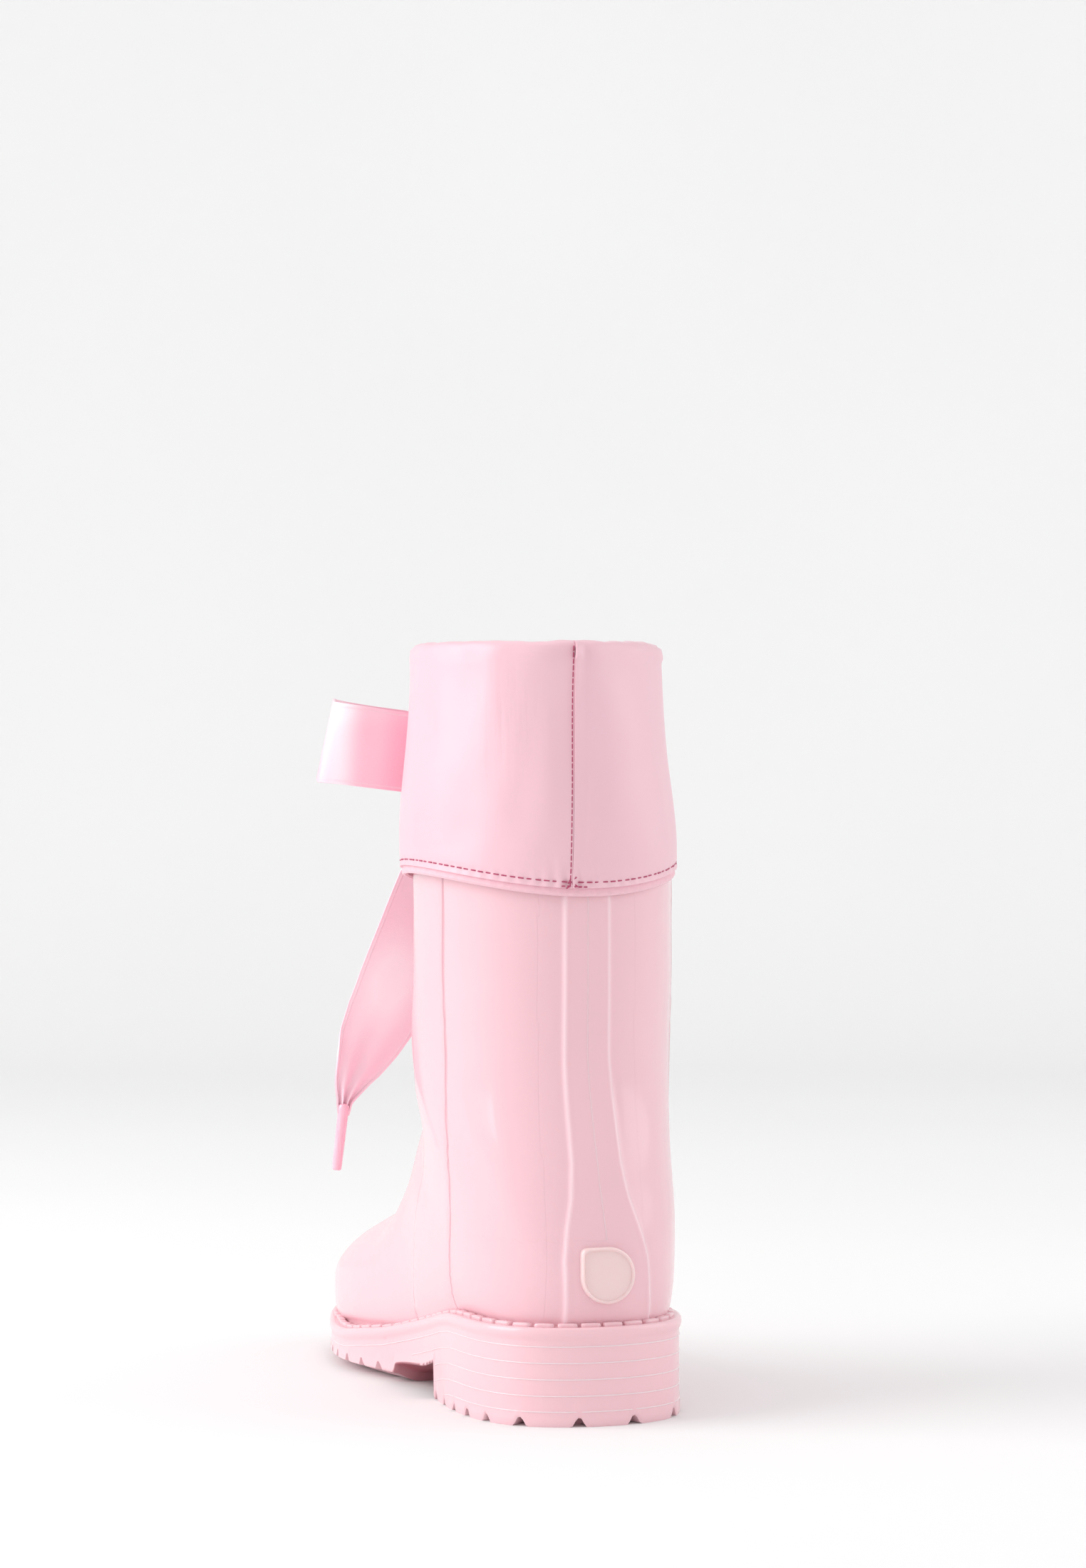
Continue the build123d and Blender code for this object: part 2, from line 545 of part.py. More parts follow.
for side, hand in ((-1, "left"), (1, "right")):
    with BuildPart() as loop:
        for shrink, mode in ((0, Mode.ADD), (RIBBON, Mode.SUBTRACT)):
            with BuildSketch(Plane.XY.offset(BOW_HEIGHT - RIBBON_WIDTH), mode=Mode.ADD):
                outline = loop_outline(side, shrink)
                with BuildLine():
                    Spline(*outline)
                    Line(outline[-1], outline[0])
                make_face()
            extrude(amount=2 * RIBBON_WIDTH, mode=mode)
        add(loop_profile(side), mode=Mode.INTERSECT)
    loop.part.label = f"ribbon_{hand}_loop"

    neck_x = side * (TAIL_NECK + CLEAR)
    neck_z = BOW_HEIGHT - KNOT_HEIGHT / 2 - CLEAR - TAIL_NECK
    with BuildPart() as tail:
        with BuildSketch(Plane.XZ.offset(-bow_y - RIBBON / 2)):
            with Locations((neck_x, neck_z)):
                Circle(TAIL_NECK)
            outline = tail_outline(side)
            with BuildLine():
                start = (neck_x + side * TAIL_NECK * 0.7, neck_z + TAIL_NECK * 0.7)
                end = (neck_x - side * TAIL_NECK, neck_z)
                Polyline(start, *outline, end, close=True)
            make_face()
        extrude(amount=RIBBON)
    tail.part.label = f"ribbon_{hand}_tail"

    top = Vector(side * TAIL_SPREAD, bow_y, BOW_HEIGHT - TAIL_DROP)
    lean = Vector(side * 0.12, 0, -1)
    with BuildPart() as aglet:
        with BuildSketch(Plane(origin=top, z_dir=lean)):
            Circle(AGLET_DIAMETER / 2)
        extrude(amount=AGLET_LENGTH)
    aglet.part.label = f"{hand}_aglet"
    pieces += [loop.part, tail.part, aglet.part]

# ---------------------------------------------------------------- write the pieces
os.makedirs("parts", exist_ok=True)
for piece in pieces:
    export_step(piece, f"parts/{piece.label}.step")
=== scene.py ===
# %% [markdown]
# A child's rain boot, left foot: a moulded PVC boot with a block heel, a knitted
# lining, a turned-down patent cuff and a satin ribbon tied in a bow in front.
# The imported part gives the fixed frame: every measure below is in that frame, with
# the toe along +Y and the sole on the floor.  The looks are built around it.

import math

import bmesh
import bpy
import numpy as np
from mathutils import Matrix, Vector, noise
from mathutils.bvhtree import BVHTree


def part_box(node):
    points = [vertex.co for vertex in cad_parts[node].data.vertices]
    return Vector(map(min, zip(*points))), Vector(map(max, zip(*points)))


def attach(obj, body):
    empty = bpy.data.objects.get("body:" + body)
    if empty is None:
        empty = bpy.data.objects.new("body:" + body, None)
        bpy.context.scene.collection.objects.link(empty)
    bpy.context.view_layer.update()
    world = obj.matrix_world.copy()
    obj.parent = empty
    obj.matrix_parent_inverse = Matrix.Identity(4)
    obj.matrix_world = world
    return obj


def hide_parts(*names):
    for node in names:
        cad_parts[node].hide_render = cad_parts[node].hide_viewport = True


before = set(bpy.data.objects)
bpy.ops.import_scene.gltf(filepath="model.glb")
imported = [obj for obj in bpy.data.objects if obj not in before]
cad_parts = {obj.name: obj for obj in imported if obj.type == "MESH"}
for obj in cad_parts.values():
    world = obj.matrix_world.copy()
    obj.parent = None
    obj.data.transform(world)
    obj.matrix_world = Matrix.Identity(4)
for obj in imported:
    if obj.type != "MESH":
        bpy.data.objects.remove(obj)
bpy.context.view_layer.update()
MM = 0.001

# %% [markdown]
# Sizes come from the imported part: the boxes of its nodes tell how high the rim is, how
# far the sole reaches and where the bow sits.  Working in millimetres keeps the numbers
# the ones a bootmaker would use.

# %% sizes of the boot, in millimetres
def box_mm(node):
    """Lowest and highest corner of a CAD node, in millimetres."""
    low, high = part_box(node)
    return [value / MM for value in low], [value / MM for value in high]


HEEL_BACK = -box_mm("outsole")[0][1]       # stations are measured from the heel's back
RIM = box_mm("cuff_left_panel")[1][2]
KNOT_LOW, KNOT_HIGH = box_mm("ribbon_knot")
SHAFT_TOP = box_mm("upper_shell")[1][2]
BOW_Z = (KNOT_LOW[2] + KNOT_HIGH[2]) / 2
BOW_Y = (KNOT_LOW[1] + KNOT_HIGH[1]) / 2
SHAFT_MIDDLE = 55.1 - HEEL_BACK            # Y of the shaft's axis
WALL, SOCK = 2.2, 1.2                      # thicknesses
HANDS = (-1, "left"), (1, "right")         # the wearer's, with the sign of x
print(f"rim {RIM:.1f}, shaft top {SHAFT_TOP:.1f}, bow at y {BOW_Y:.1f} z {BOW_Z:.1f}")

# %% [markdown]
# Materials are node networks.  Writing them as sums and products is easier to read than
# dozens of node calls, so a small class wraps a socket: arithmetic on it adds Math
# nodes.  Colours and vectors never go through Math nodes, which would turn them grey.

# %% arithmetic on sockets
class Wire:
    """An output in a material; arithmetic on it adds Math nodes."""

    def __init__(self, finish, socket):
        self.finish, self.socket = finish, socket

    def math(self, operation, *terms):
        return self.finish.node("ShaderNodeMath", {"operation": operation},
                                dict(enumerate(terms)))

    def __add__(self, other):
        return self.math("ADD", self, other)

    def __sub__(self, other):
        return self.math("SUBTRACT", self, other)

    def __rsub__(self, other):
        return self.math("SUBTRACT", other, self)

    def __mul__(self, other):
        return self.math("MULTIPLY", self, other)

    def __truediv__(self, other):
        return self.math("DIVIDE", self, other)

    def size(self):
        return self.math("ABSOLUTE", self)

    def clamp(self):
        return self.math("MINIMUM", self.math("MAXIMUM", self, 0.0), 1.0)

    def ridge(self, width):
        """1 where the value is 0, falling to 0 at width either side."""
        return (1 - self.size() / width).clamp()


class Finish:
    """A material built around one Principled shader."""

    def __init__(self, name, **constants):
        self.material = bpy.data.materials.new(name)
        self.material.use_nodes = True
        self.tree = self.material.node_tree
        self.shader = next(n for n in self.tree.nodes if n.type == "BSDF_PRINCIPLED")
        for socket, value in constants.items():
            self.shader.inputs[socket.replace("_", " ")].default_value = value

    def node(self, kind, settings=None, values=None, output=0):
        """Adds a node: its settings first, then the values or links of its sockets."""
        node = self.tree.nodes.new(kind)
        for setting, value in (settings or {}).items():
            setattr(node, setting, value)
        for socket, value in (values or {}).items():
            if isinstance(value, Wire):
                self.tree.links.new(value.socket, node.inputs[socket])
            else:
                node.inputs[socket].default_value = value
        return Wire(self, node.outputs[output])

    def feed(self, socket, wire):
        self.tree.links.new(wire.socket, self.shader.inputs[socket])

    def place(self):
        return self.node("ShaderNodeTexCoord", output="Object")

    def attribute(self, name):
        return self.node("ShaderNodeAttribute", {"attribute_name": name}, output="Fac")

    def stretched(self, vector, scale):
        return self.node("ShaderNodeVectorMath", {"operation": "MULTIPLY"},
                         {0: vector, 1: scale})

    def grain(self, scale, detail=3.0, vector=None):
        return self.node("ShaderNodeTexNoise", None,
                         {"Vector": vector or self.place(), "Scale": scale, "Detail": detail})

    def blend(self, factor, first, second):
        return self.node("ShaderNodeMix", {"data_type": "RGBA"},
                         {0: factor, 6: first, 7: second}, output=2)

    def bump(self, height_mm):
        """A bump whose height is given in millimetres, straight into Normal."""
        self.feed("Normal", self.node("ShaderNodeBump", None,
                                      {"Strength": 1.0, "Distance": MM, "Height": height_mm}))


def colour(code, lift=1.0):
    """A hex colour as linear light, made lighter or darker by lift."""
    parts = [int(code[i:i + 2], 16) / 255 for i in (0, 2, 4)]
    linear = [p / 12.92 if p <= 0.04045 else ((p + 0.055) / 1.055) ** 2.4 for p in parts]
    return (*[min(value * lift, 1.0) for value in linear], 1.0)


# %% [markdown]
# The boot is injection-moulded PVC: glossy, a little cloudy below its skin, with the
# fine lines of the mould on it.  The lines are drawn by the distance to them, which the
# mesh carries as attributes, so they stay crisp at any mesh density.

# %% moulded PVC of the boot
PINK, LINE_HIGHLIGHT_PINK, GROOVE_SHADE_PINK = "f1c2cb", "fbe3e8", "eaa3b3"
LIT_EDGE, IN_SHADE = "fde3ea", "a44c5c"


def moulded_pvc(name, tint, roughness, lines=(), grain_mm=0.012, subsurface=0.12, painted_shade=None):
    """Glossy PVC.  lines holds (attribute, height, width) in millimetres for mould lines; their
    colour takes a painted highlight where raised and a painted shade where sunk.  The last
    argument names an attribute that darkens the colour with painted shade."""
    finish = Finish(name, Roughness=roughness, Subsurface_Weight=subsurface,
                    Subsurface_Radius=(1.0, 0.45, 0.45), Subsurface_Scale=0.004,
                    Coat_Weight=0.55, Coat_Roughness=0.08, Specular_IOR_Level=0.5)
    paint = finish.blend(finish.grain(22, 2.0) * 0.9, colour(tint, 0.985), colour(tint, 1.02))
    height_mm = finish.grain(1100, 2.0) * grain_mm + finish.grain(60, 2.0) * 0.06
    raised = 0.0
    for attribute, line_height, width in lines:
        ridge = finish.attribute(attribute).ridge(width)
        height_mm = height_mm + ridge * line_height
        raised = ridge * math.copysign(1.0, line_height) + raised
    # raised lines are tinted towards LIT_EDGE, a painted highlight; sunk ones towards a deeper
    # pink, a painted shade
    if lines:
        paint = finish.blend((raised * 0.5).clamp(), paint, colour(LIT_EDGE))
        paint = finish.blend((raised * -0.5).clamp(), paint, colour(GROOVE_SHADE_PINK))
    # painted shade: the named attribute blends the colour towards IN_SHADE
    if painted_shade:
        paint = finish.blend(finish.attribute(painted_shade), paint, colour(IN_SHADE))
    finish.feed("Base Color", paint)
    finish.feed("Roughness", finish.grain(140, 4.0) * 0.1 + (roughness - 0.05))
    finish.bump(height_mm)
    return finish.material


# the strip's raised edges and parting line get a painted highlight, the sunk side bands get
# painted shade
SHELL_PVC = moulded_pvc("shell_pvc", PINK, 0.24,
                        [("strip_edge", 0.10, 1.0), ("strip_middle", 0.2, 0.33),
                         ("band_rear", -0.28, 0.5), ("band_front", -0.28, 0.5)])
# the wall's mould lines are tinted paler than the sole: a painted highlight along them
LINE_PVC = moulded_pvc("mould_line_pvc", LINE_HIGHLIGHT_PINK, 0.3)
# the sole's faces that point down under the waist get painted shade
SOLE_PVC = moulded_pvc("sole_pvc", "f3c5cd", 0.36, grain_mm=0.03, painted_shade="arch_shade")
BADGE_PVC = moulded_pvc("badge_pvc", "f5d3d3", 0.3, subsurface=0.3)
print("PVC finishes:", SHELL_PVC.name, SOLE_PVC.name, BADGE_PVC.name)

# %% [markdown]
# The cuff is patent sheet: cloth with a thick clear polyurethane skin, which shows as a
# strong clear coat over soft, faintly creased colour.  Fine diagonal creases run where
# the sheet was bent to turn it down, made by noise stretched along their direction.

# %% patent sheet of the cuff
def patent_sheet():
    finish = Finish("patent", Roughness=0.42, Subsurface_Weight=0.08,
                    Subsurface_Radius=(1.0, 0.5, 0.5), Subsurface_Scale=0.002,
                    Coat_Weight=0.36, Coat_Roughness=0.4)
    slanting = finish.node("ShaderNodeMapping", {"vector_type": "POINT"},
                           {"Vector": finish.place(), "Rotation": (0.0, 0.62, 0.0),
                            "Scale": (420, 200, 34)})
    crease = finish.grain(1.0, 2.0, slanting) * finish.attribute("crease")
    finish.feed("Base Color", finish.blend(finish.grain(16, 2.0), colour("ecbcc8"),
                                           colour("f1c5d0")))
    finish.feed("Roughness", finish.grain(90, 3.0) * 0.08 + 0.38)
    finish.bump(crease * 0.22 + finish.grain(700, 2.0) * 0.006 + finish.grain(45, 2.0) * 0.16)
    return finish.material


PATENT = patent_sheet()

# %% [markdown]
# Satin is woven so that long threads lie on its face along the ribbon.  The ribbon
# pieces carry a UV map in metres, along and across, and the threads and the two firm
# woven edges are drawn in it, so they follow every fold.

# %% satin of the ribbon
RIBBON_HALF, RIBBON_THICK = 12.5, 0.6


def satin_ribbon():
    finish = Finish("satin", Roughness=0.3, Sheen_Weight=0.45, Sheen_Roughness=0.4,
                    Anisotropic=0.5, Subsurface_Weight=0.06, Subsurface_Radius=(1.0, 0.4, 0.5),
                    Subsurface_Scale=0.001, Specular_IOR_Level=0.8)
    weave = finish.node("ShaderNodeUVMap", {"uv_map": "weave"})
    across = finish.node("ShaderNodeSeparateXYZ", None, {0: weave}, output="Y")
    edge = ((across * (1 / MM)).size() - (RIBBON_HALF - 1.1)).ridge(0.45)
    threads = finish.grain(1.0, 2.0, finish.stretched(weave, (900.0, 9000.0, 1.0)))
    wefts = finish.grain(1.0, 1.0, finish.stretched(weave, (5200.0, 260.0, 1.0)))
    base = finish.blend(threads, colour("fcb0c8"), colour("ffc8d8"))
    # painted sheen: per-point values blend the satin towards a near white
    with_painted_sheen = finish.blend(finish.attribute("painted_sheen").clamp(), base, colour("ffeff5"))
    finish.feed("Base Color", finish.blend(edge * 0.6, with_painted_sheen, colour("fee0e9")))
    finish.feed("Roughness", threads * 0.12 + 0.24)
    finish.bump(threads * 0.03 + wefts * 0.02 + edge * 0.12)
    return finish.material


SATIN = satin_ribbon()

# %% [markdown]
# Smaller finishes: the knit inside, the footbed's cloth, the lining tape, sewing thread,
# the eyelets' painted metal and the clear film round the ribbon's tips.

# %% knit, foam, lining, thread, metal and film
def two_toned(finish, texture, dark, light, height_mm):
    """Lets one texture both mix two colours and stand up as a bump."""
    finish.feed("Base Color", finish.blend(texture, dark, light))
    finish.bump(texture * height_mm)
    return finish.material


def knit_cloth():
    """Columns of stitches crossed by rows of them."""
    finish = Finish("knit", Roughness=0.85, Sheen_Weight=0.3)
    columns, rows = [
        finish.node("ShaderNodeTexWave", {"wave_type": "BANDS", "bands_direction": axis},
                    {"Vector": finish.place(), "Scale": scale, "Distortion": 1.2, "Detail": 1.0})
        for axis, scale in (("X", 180), ("Z", 230))]
    return two_toned(finish, columns * rows, colour("e9dfe0"), colour("fbf6f5"), 0.25)


def plain_cloth(name, tint, scale, height_mm):
    finish = Finish(name, Roughness=0.8, Sheen_Weight=0.25)
    return two_toned(finish, finish.grain(scale, 4.0), colour(tint, 0.9), colour(tint, 1.06),
                     height_mm)


def painted_metal():
    finish = Finish("eyelet_metal", Metallic=0.6, Roughness=0.3, Coat_Weight=0.4)
    worn = finish.grain(350, 4.0)
    finish.feed("Roughness", worn * 0.2 + 0.2)
    return two_toned(finish, worn, colour("eeb4c2"), colour("f6cdd6"), 0.01)


def clear_film():
    finish = Finish("aglet_film", Roughness=0.16, Coat_Weight=0.9, Coat_Roughness=0.06,
                    Subsurface_Weight=0.2, Subsurface_Radius=(1.0, 0.5, 0.5),
                    Subsurface_Scale=0.001)
    streaks = finish.grain(1.0, 2.0, finish.stretched(finish.place(), (1500.0, 1500.0, 70.0)))
    return two_toned(finish, streaks, colour("f9abc3"), colour("fdd3df"), 0.05)


KNIT = knit_cloth()
FOOTBED_CLOTH = plain_cloth("footbed_foam", "f2dfe1", 900, 0.12)
LINING_TAPE = plain_cloth("lining_cloth", "f3c4cf", 700, 0.05)
THREAD = plain_cloth("thread", "b5486b", 3000, 0.03)
EYELET_METAL = painted_metal()
FILM = clear_film()
print(len(bpy.data.materials), "materials in the file")

# %% [markdown]
# Most pieces are grids of points: rings or rows that are joined by quads.  These helpers
# turn such points, in millimetres, into meshes, close their ends, and attach per-point
# values that the finishes read.

# %% mesh helpers
def placed(name, data):
    """A new object for some data, in the scene."""
    thing = bpy.data.objects.new(name, data)
    bpy.context.collection.objects.link(thing)
    return thing


def in_metres(points):
    return [tuple(float(c) * MM for c in p) for p in points]


def new_piece(name, points, faces, finish, sharp=40.0):
    """A mesh object from points in millimetres; edges sharper than sharp degrees stay crisp."""
    mesh = bpy.data.meshes.new(name)
    mesh.from_pydata(in_metres(points), [], faces)
    mesh.validate()
    mesh.materials.append(finish)
    mesh.polygons.foreach_set("use_smooth", [True] * len(mesh.polygons))
    mesh.set_sharp_from_angle(angle=math.radians(sharp))
    return placed(name, mesh)


def ring_faces(rings, columns, first=0, closed=True):
    """Quads between successive rings of points."""
    faces = []
    span = columns if closed else columns - 1
    for ring in range(rings - 1):
        for i in range(span):
            a = first + ring * columns + i
            b = first + ring * columns + (i + 1) % columns
            faces.append((a, b, b + columns, a + columns))
    return faces


def closed_faces(rings, columns):
    """Ring faces with a flat cap on the first and the last ring."""
    last = (rings - 1) * columns
    return ring_faces(rings, columns) + [tuple(range(columns)), tuple(range(last, last + columns))]


def turns(count):
    return [2 * math.pi * k / count for k in range(count)]


def evaluated(thing):
    """The mesh that an object's modifiers make of it, as a plain mesh."""
    graph = bpy.context.evaluated_depsgraph_get()
    return bpy.data.meshes.new_from_object(thing.evaluated_get(graph), depsgraph=graph)


def tidy(piece, merge_mm=0.0):
    """Merges doubles and turns every face outwards."""
    shape = bmesh.new()
    shape.from_mesh(piece.data)
    if merge_mm:
        bmesh.ops.remove_doubles(shape, verts=shape.verts, dist=merge_mm * MM)
        bmesh.ops.dissolve_degenerate(shape, edges=shape.edges, dist=merge_mm * MM * 0.1)
    bmesh.ops.recalc_face_normals(shape, faces=shape.faces)
    shape.to_mesh(piece.data)
    shape.free()
    return piece


def give_values(piece, name, values):
    layer = piece.data.attributes.new(name, "FLOAT", "POINT")
    layer.data.foreach_set("value", np.asarray(values, dtype=np.float32))


def smooth_step(value, low, high):
    part = np.clip((np.asarray(value, dtype=float) - low) / (high - low), 0.0, 1.0)
    return part * part * (3 - 2 * part)


def hump(distance, width):
    """1 at no distance, falling away smoothly over the width."""
    return np.exp(-(distance / width) ** 2)


def limited(value, low=0.0, high=1.0):
    return min(max(value, low), high)


def hermite(first, first_slope, second, second_slope, t):
    """A smooth curve from first to second, at a share t of the way."""
    return (first * (2 * t ** 3 - 3 * t ** 2 + 1) + first_slope * (t ** 3 - 2 * t ** 2 + t)
            + second * (3 * t ** 2 - 2 * t ** 3) + second_slope * (t ** 3 - t ** 2))


def report(piece):
    """Prints how many faces a piece has and how far it reaches, in millimetres."""
    reach_mm = [[v.co[i] / MM for v in piece.data.vertices] for i in range(3)]
    print(f"{piece.name}: {len(piece.data.polygons)} faces,",
          " ".join(f"{min(a):.1f}..{max(a):.1f}" for a in reach_mm))
    return piece


# %% [markdown]
# The boot's shape is given by slices: level ones down the shaft, then slices that turn
# about the instep like the leaves of a fan, then the slices of the toe.  Each slice is
# an oval that is rounder or blunter by its powers.  A smooth curve through the slices,
# point by point, gives the skin; the same slices, shrunk, give its inside and the sock.

# %% slices of the boot
FAN_Y, FAN_Z = 151.0, 130.0                # station and height the fan's slices turn about
CUFF_DROP = 66.5                           # from the rim down to the hem
HEM_Z = RIM - CUFF_DROP
BACK, DEPTH, HALF = 12.6, 85.0, 38.4       # the shaft: its back, front to back, half its width
SHAFT_OVAL = 2.1                           # power of its oval: 2 is an ellipse, more is blunter
SHAFT_LEVELS = 6
HEEL_SET, BALL_SET = 2.0, 2.0              # heel set over to the inner side, ball to the outer

# Leaves of the fan: degrees below level; how far the back and the front end lie from the
# fan's centre; half widths, left and right; the oval's powers below and above; the share
# of HEEL_SET.  In the last three the back end is given by its depth below the centre.
FAN = ((12, 141.4, 49.0, 38.1, 37.9, 2.1, 2.1, 0.1), (23, 156, 47.5, 36.8, 36.6, 2.2, 2.1, 0.4),
       (31, 171, 47.5, 33.8, 36.5, 2.4, 2.1, 0.8), (38, 178.5, 49.0, 32.2, 35.8, 2.7, 2.1, 1.0),
       (47, 115 / math.sin(math.radians(47)), 52.5, 31.5, 34.2, 3.0, 2.0, 0.9),
       (60, 119 / math.sin(math.radians(60)), 60.0, 30.5, 31.0, 3.6, 1.85, 0.5),
       (75, 124 / math.sin(math.radians(75)), 73.0, 32.4, 32.6, 4.2, 1.85, 0.15))

TOE_SHARES = (0.0, 0.3, 0.58, 0.78, 0.91, 0.965, 0.99, 0.9985)   # slices towards the toe's tip
TOE_LONG, TOE_HALF, TOE_MIDDLE = 50.0, 34.5, 19.0                # the last is a height
TOE_OVAL = (4.6, 1.95)                                           # flat below, round above


def lean(z):
    """The top of the boot leans a little to the outer side, above the hem."""
    return -1.5 - 1.2 * max(0.0, (z - HEM_Z) / CUFF_DROP) if z > HEM_Z - 12 else 0.0


def oval_share(half_left, half_right, half_long, low, high, shares):
    """Points at given shares of an oval's length, from its back middle round by the right."""
    turn = np.linspace(-math.pi / 2, 1.5 * math.pi, 2881)
    c, s = np.cos(turn), np.sin(turn)
    power = np.where(s >= 0, high, low)
    half = np.where(c >= 0, half_right, half_left)
    x = half * np.sign(c) * np.abs(c) ** (2 / power)
    v = half_long * np.sign(s) * np.abs(s) ** (2 / power)
    length = np.concatenate([[0], np.cumsum(np.hypot(np.diff(x), np.diff(v)))])
    want = np.asarray(shares) * length[-1]
    return np.interp(want, length, x), np.interp(want, length, v)


def slice_points(back, front, left, right, low, high, inset, shares, aside=0.0):
    """One slice, from its back end to its front end, as points in millimetres."""
    back, front = np.array(back), np.array(front)
    length = np.linalg.norm(front - back)
    run = (front - back) / length
    x, v = oval_share(left + aside - inset, right - aside - inset, length / 2 - inset,
                      low, high, shares)
    middle = (front + back) / 2
    return np.stack([x + aside, middle[0] + v * run[0] - HEEL_BACK, middle[1] + v * run[1]],
                    axis=1)


def on_leaf(degrees, distance):
    turn = math.radians(degrees)
    return FAN_Y - distance * math.cos(turn), FAN_Z - distance * math.sin(turn)


def boot_slices(inset, shares):
    """Every slice of the boot, shrunk by inset, from the shaft's top to the toe's tip."""
    slices = []
    for level in range(SHAFT_LEVELS + 1):
        z = SHAFT_TOP + (FAN_Z - SHAFT_TOP) * level / SHAFT_LEVELS
        narrow = 5.0 * max(0.0, (z - HEM_Z) / CUFF_DROP) ** 0.85
        slices.append(slice_points((BACK + narrow, z), (BACK + DEPTH - narrow, z), HALF - narrow,
                                   HALF - 0.4 - narrow, SHAFT_OVAL, SHAFT_OVAL, inset, shares,
                                   lean(z) * 0.6))
    for degrees, to_back, to_front, left, right, low, high, part in FAN:
        slices.append(slice_points(on_leaf(degrees, to_back), on_leaf(degrees, to_front), left,
                                   right, low, high, inset, shares, part * HEEL_SET))
    for part in TOE_SHARES:
        station = FAN_Y + (TOE_LONG - inset) * part
        wide, tall = (1 - part ** 2.4) ** (1 / 2.4), (1 - part ** 3) ** (1 / 3)
        roof = TOE_MIDDLE + (32 - inset - 15 * part) * tall
        floor = TOE_MIDDLE - (13 - inset - 2 * part) * tall
        half = (TOE_HALF - inset) * wide
        slices.append(slice_points((station, floor), (station, roof), half - 1.0, half,
                                   *TOE_OVAL, 0, shares))
    return np.array(slices)


def skin(slices, steps):
    """Smooth rings through the slices: steps[i] rings from slice i to the next."""
    chord = np.linalg.norm(np.diff(slices, axis=0), axis=2, keepdims=True) + 1e-6
    slope = np.diff(slices, axis=0) / chord
    tangent = np.empty_like(slices)
    tangent[0], tangent[-1] = slope[0], slope[-1]
    share = chord[1:] / (chord[1:] + chord[:-1])
    tangent[1:-1] = slope[:-1] * share + slope[1:] * (1 - share)
    rings = [hermite(slices[i], tangent[i] * chord[i], slices[i + 1], tangent[i + 1] * chord[i],
                     step / count)
             for i, count in enumerate(steps) for step in range(count)]
    return np.array(rings + [slices[-1]])


def ring_shares(count, back_density=0.55):
    """Shares round the boot, closer together at its back middle."""
    k = np.arange(count) / count
    return k - (1 - back_density) / (2 * math.pi) * np.sin(2 * math.pi * k)


# %% [markdown]
# On the skin lie the mould's details: a strip up the back that flares over the heel,
# with rounded raised edges and a fine parting line, and a shallow band down each side.
# They are a small push along the surface's own direction, a fraction of a millimetre.

# %% relief of the back strip and side bands
# Each line is a run of heights, and at each height a half width, an x or a station.
STRIP_HALF = [20, 48, 56, 66, 76, 107, 230], [13.4, 13.0, 11.6, 8.9, 7.6, 6.8, 6.8]
STRIP_MIDDLE = [20, 36, 52, 71, 107, 230], [3.5, 3.4, 2.4, 0.8, -0.9, -1.0]
BAND_FRONT = [10, 25, 50, 69, 81, 100, 230], [93.0, 91.5, 86.5, 78.0, 73.5, 68.0, 66.0]
BAND_REAR = [18, 24, 32, 45, 60, 81, 230], [43.0, 49.0, 52.5, 49.5, 45.0, 40.5, 40.5]
STRIP_RELIEF, BAND_RELIEF, BEAD_RELIEF = 0.7, 0.5, 0.3
FAR = 99.0                                 # a distance too great for a line to be drawn


def outward(rings):
    """Unit vectors square to the rings' surface, pointing out of the boot."""
    down = np.gradient(rings, axis=0)
    around = np.roll(rings, -1, axis=1) - np.roll(rings, 1, axis=1)
    square = np.cross(down, around)
    square /= np.linalg.norm(square, axis=2, keepdims=True) + 1e-9
    middle = rings.mean(axis=1, keepdims=True)
    if np.sum(square * (rings - middle)) < 0:
        square = -square
    return square


def shell_details(rings):
    """Height of the relief at each point, and the distances that draw the mould lines."""
    x, station, z = rings[..., 0], rings[..., 1] + HEEL_BACK, rings[..., 2]
    at_back = (station < 42) & (np.arange(len(rings))[:, None] < 160)
    from_middle = x - np.interp(z, *STRIP_MIDDLE)
    edge = np.where(at_back, np.abs(from_middle) - np.interp(z, *STRIP_HALF), FAR)
    middle = np.where(at_back & (z > 53), from_middle, FAR)
    side = (np.abs(x) > 15) & (z > 5)
    rear, front = [np.where(side, station - np.interp(z, *line), FAR)
                   for line in (BAND_REAR, BAND_FRONT)]
    raised = STRIP_RELIEF * smooth_step(-edge, -0.8, 0.8) + BEAD_RELIEF * hump(edge + 0.3, 1.1)
    inside = smooth_step(rear, 0.0, 1.0) * smooth_step(-front, 0.0, 1.0)
    return raised + BAND_RELIEF * inside, edge, middle, rear, front


# %% [markdown]
# The boot's skin and its inner wall are one closed mesh: rings down the outside to the
# toe's tip, rings down the inside, and a rim between them.  The knitted sock is made the
# same way, a little smaller.

# %% shell and sock
COLUMNS = 224
SHARES = ring_shares(COLUMNS)
OUTER_STEPS = [11] * 6 + [20, 18, 16, 12, 8, 10, 12, 14] + [12, 10, 8, 6, 4, 3, 2]
INNER_STEPS = [2] * 6 + [6] * 8 + [3, 3, 3, 2, 2, 2, 2]


def closed_boot(name, outer, inner, finish):
    """Outside rings, inside rings, a rim at the top and a pole at each toe tip."""
    columns = outer.shape[1]
    points = list(outer.reshape(-1, 3)) + list(inner.reshape(-1, 3))
    first_inner = outer.shape[0] * columns
    faces = ring_faces(len(outer), columns)
    faces += [f[::-1] for f in ring_faces(len(inner), columns, first_inner)]
    faces += [(i, first_inner + i, first_inner + j, j)
              for i, j in ((i, (i + 1) % columns) for i in range(columns))]
    for rings, first in ((outer, 0), (inner, first_inner)):
        points.append(rings[-1].mean(axis=0))
        last = first + (len(rings) - 1) * columns
        faces += [(last + i, last + (i + 1) % columns, len(points) - 1) for i in range(columns)]
    return tidy(new_piece(name, points, faces, finish, sharp=60))


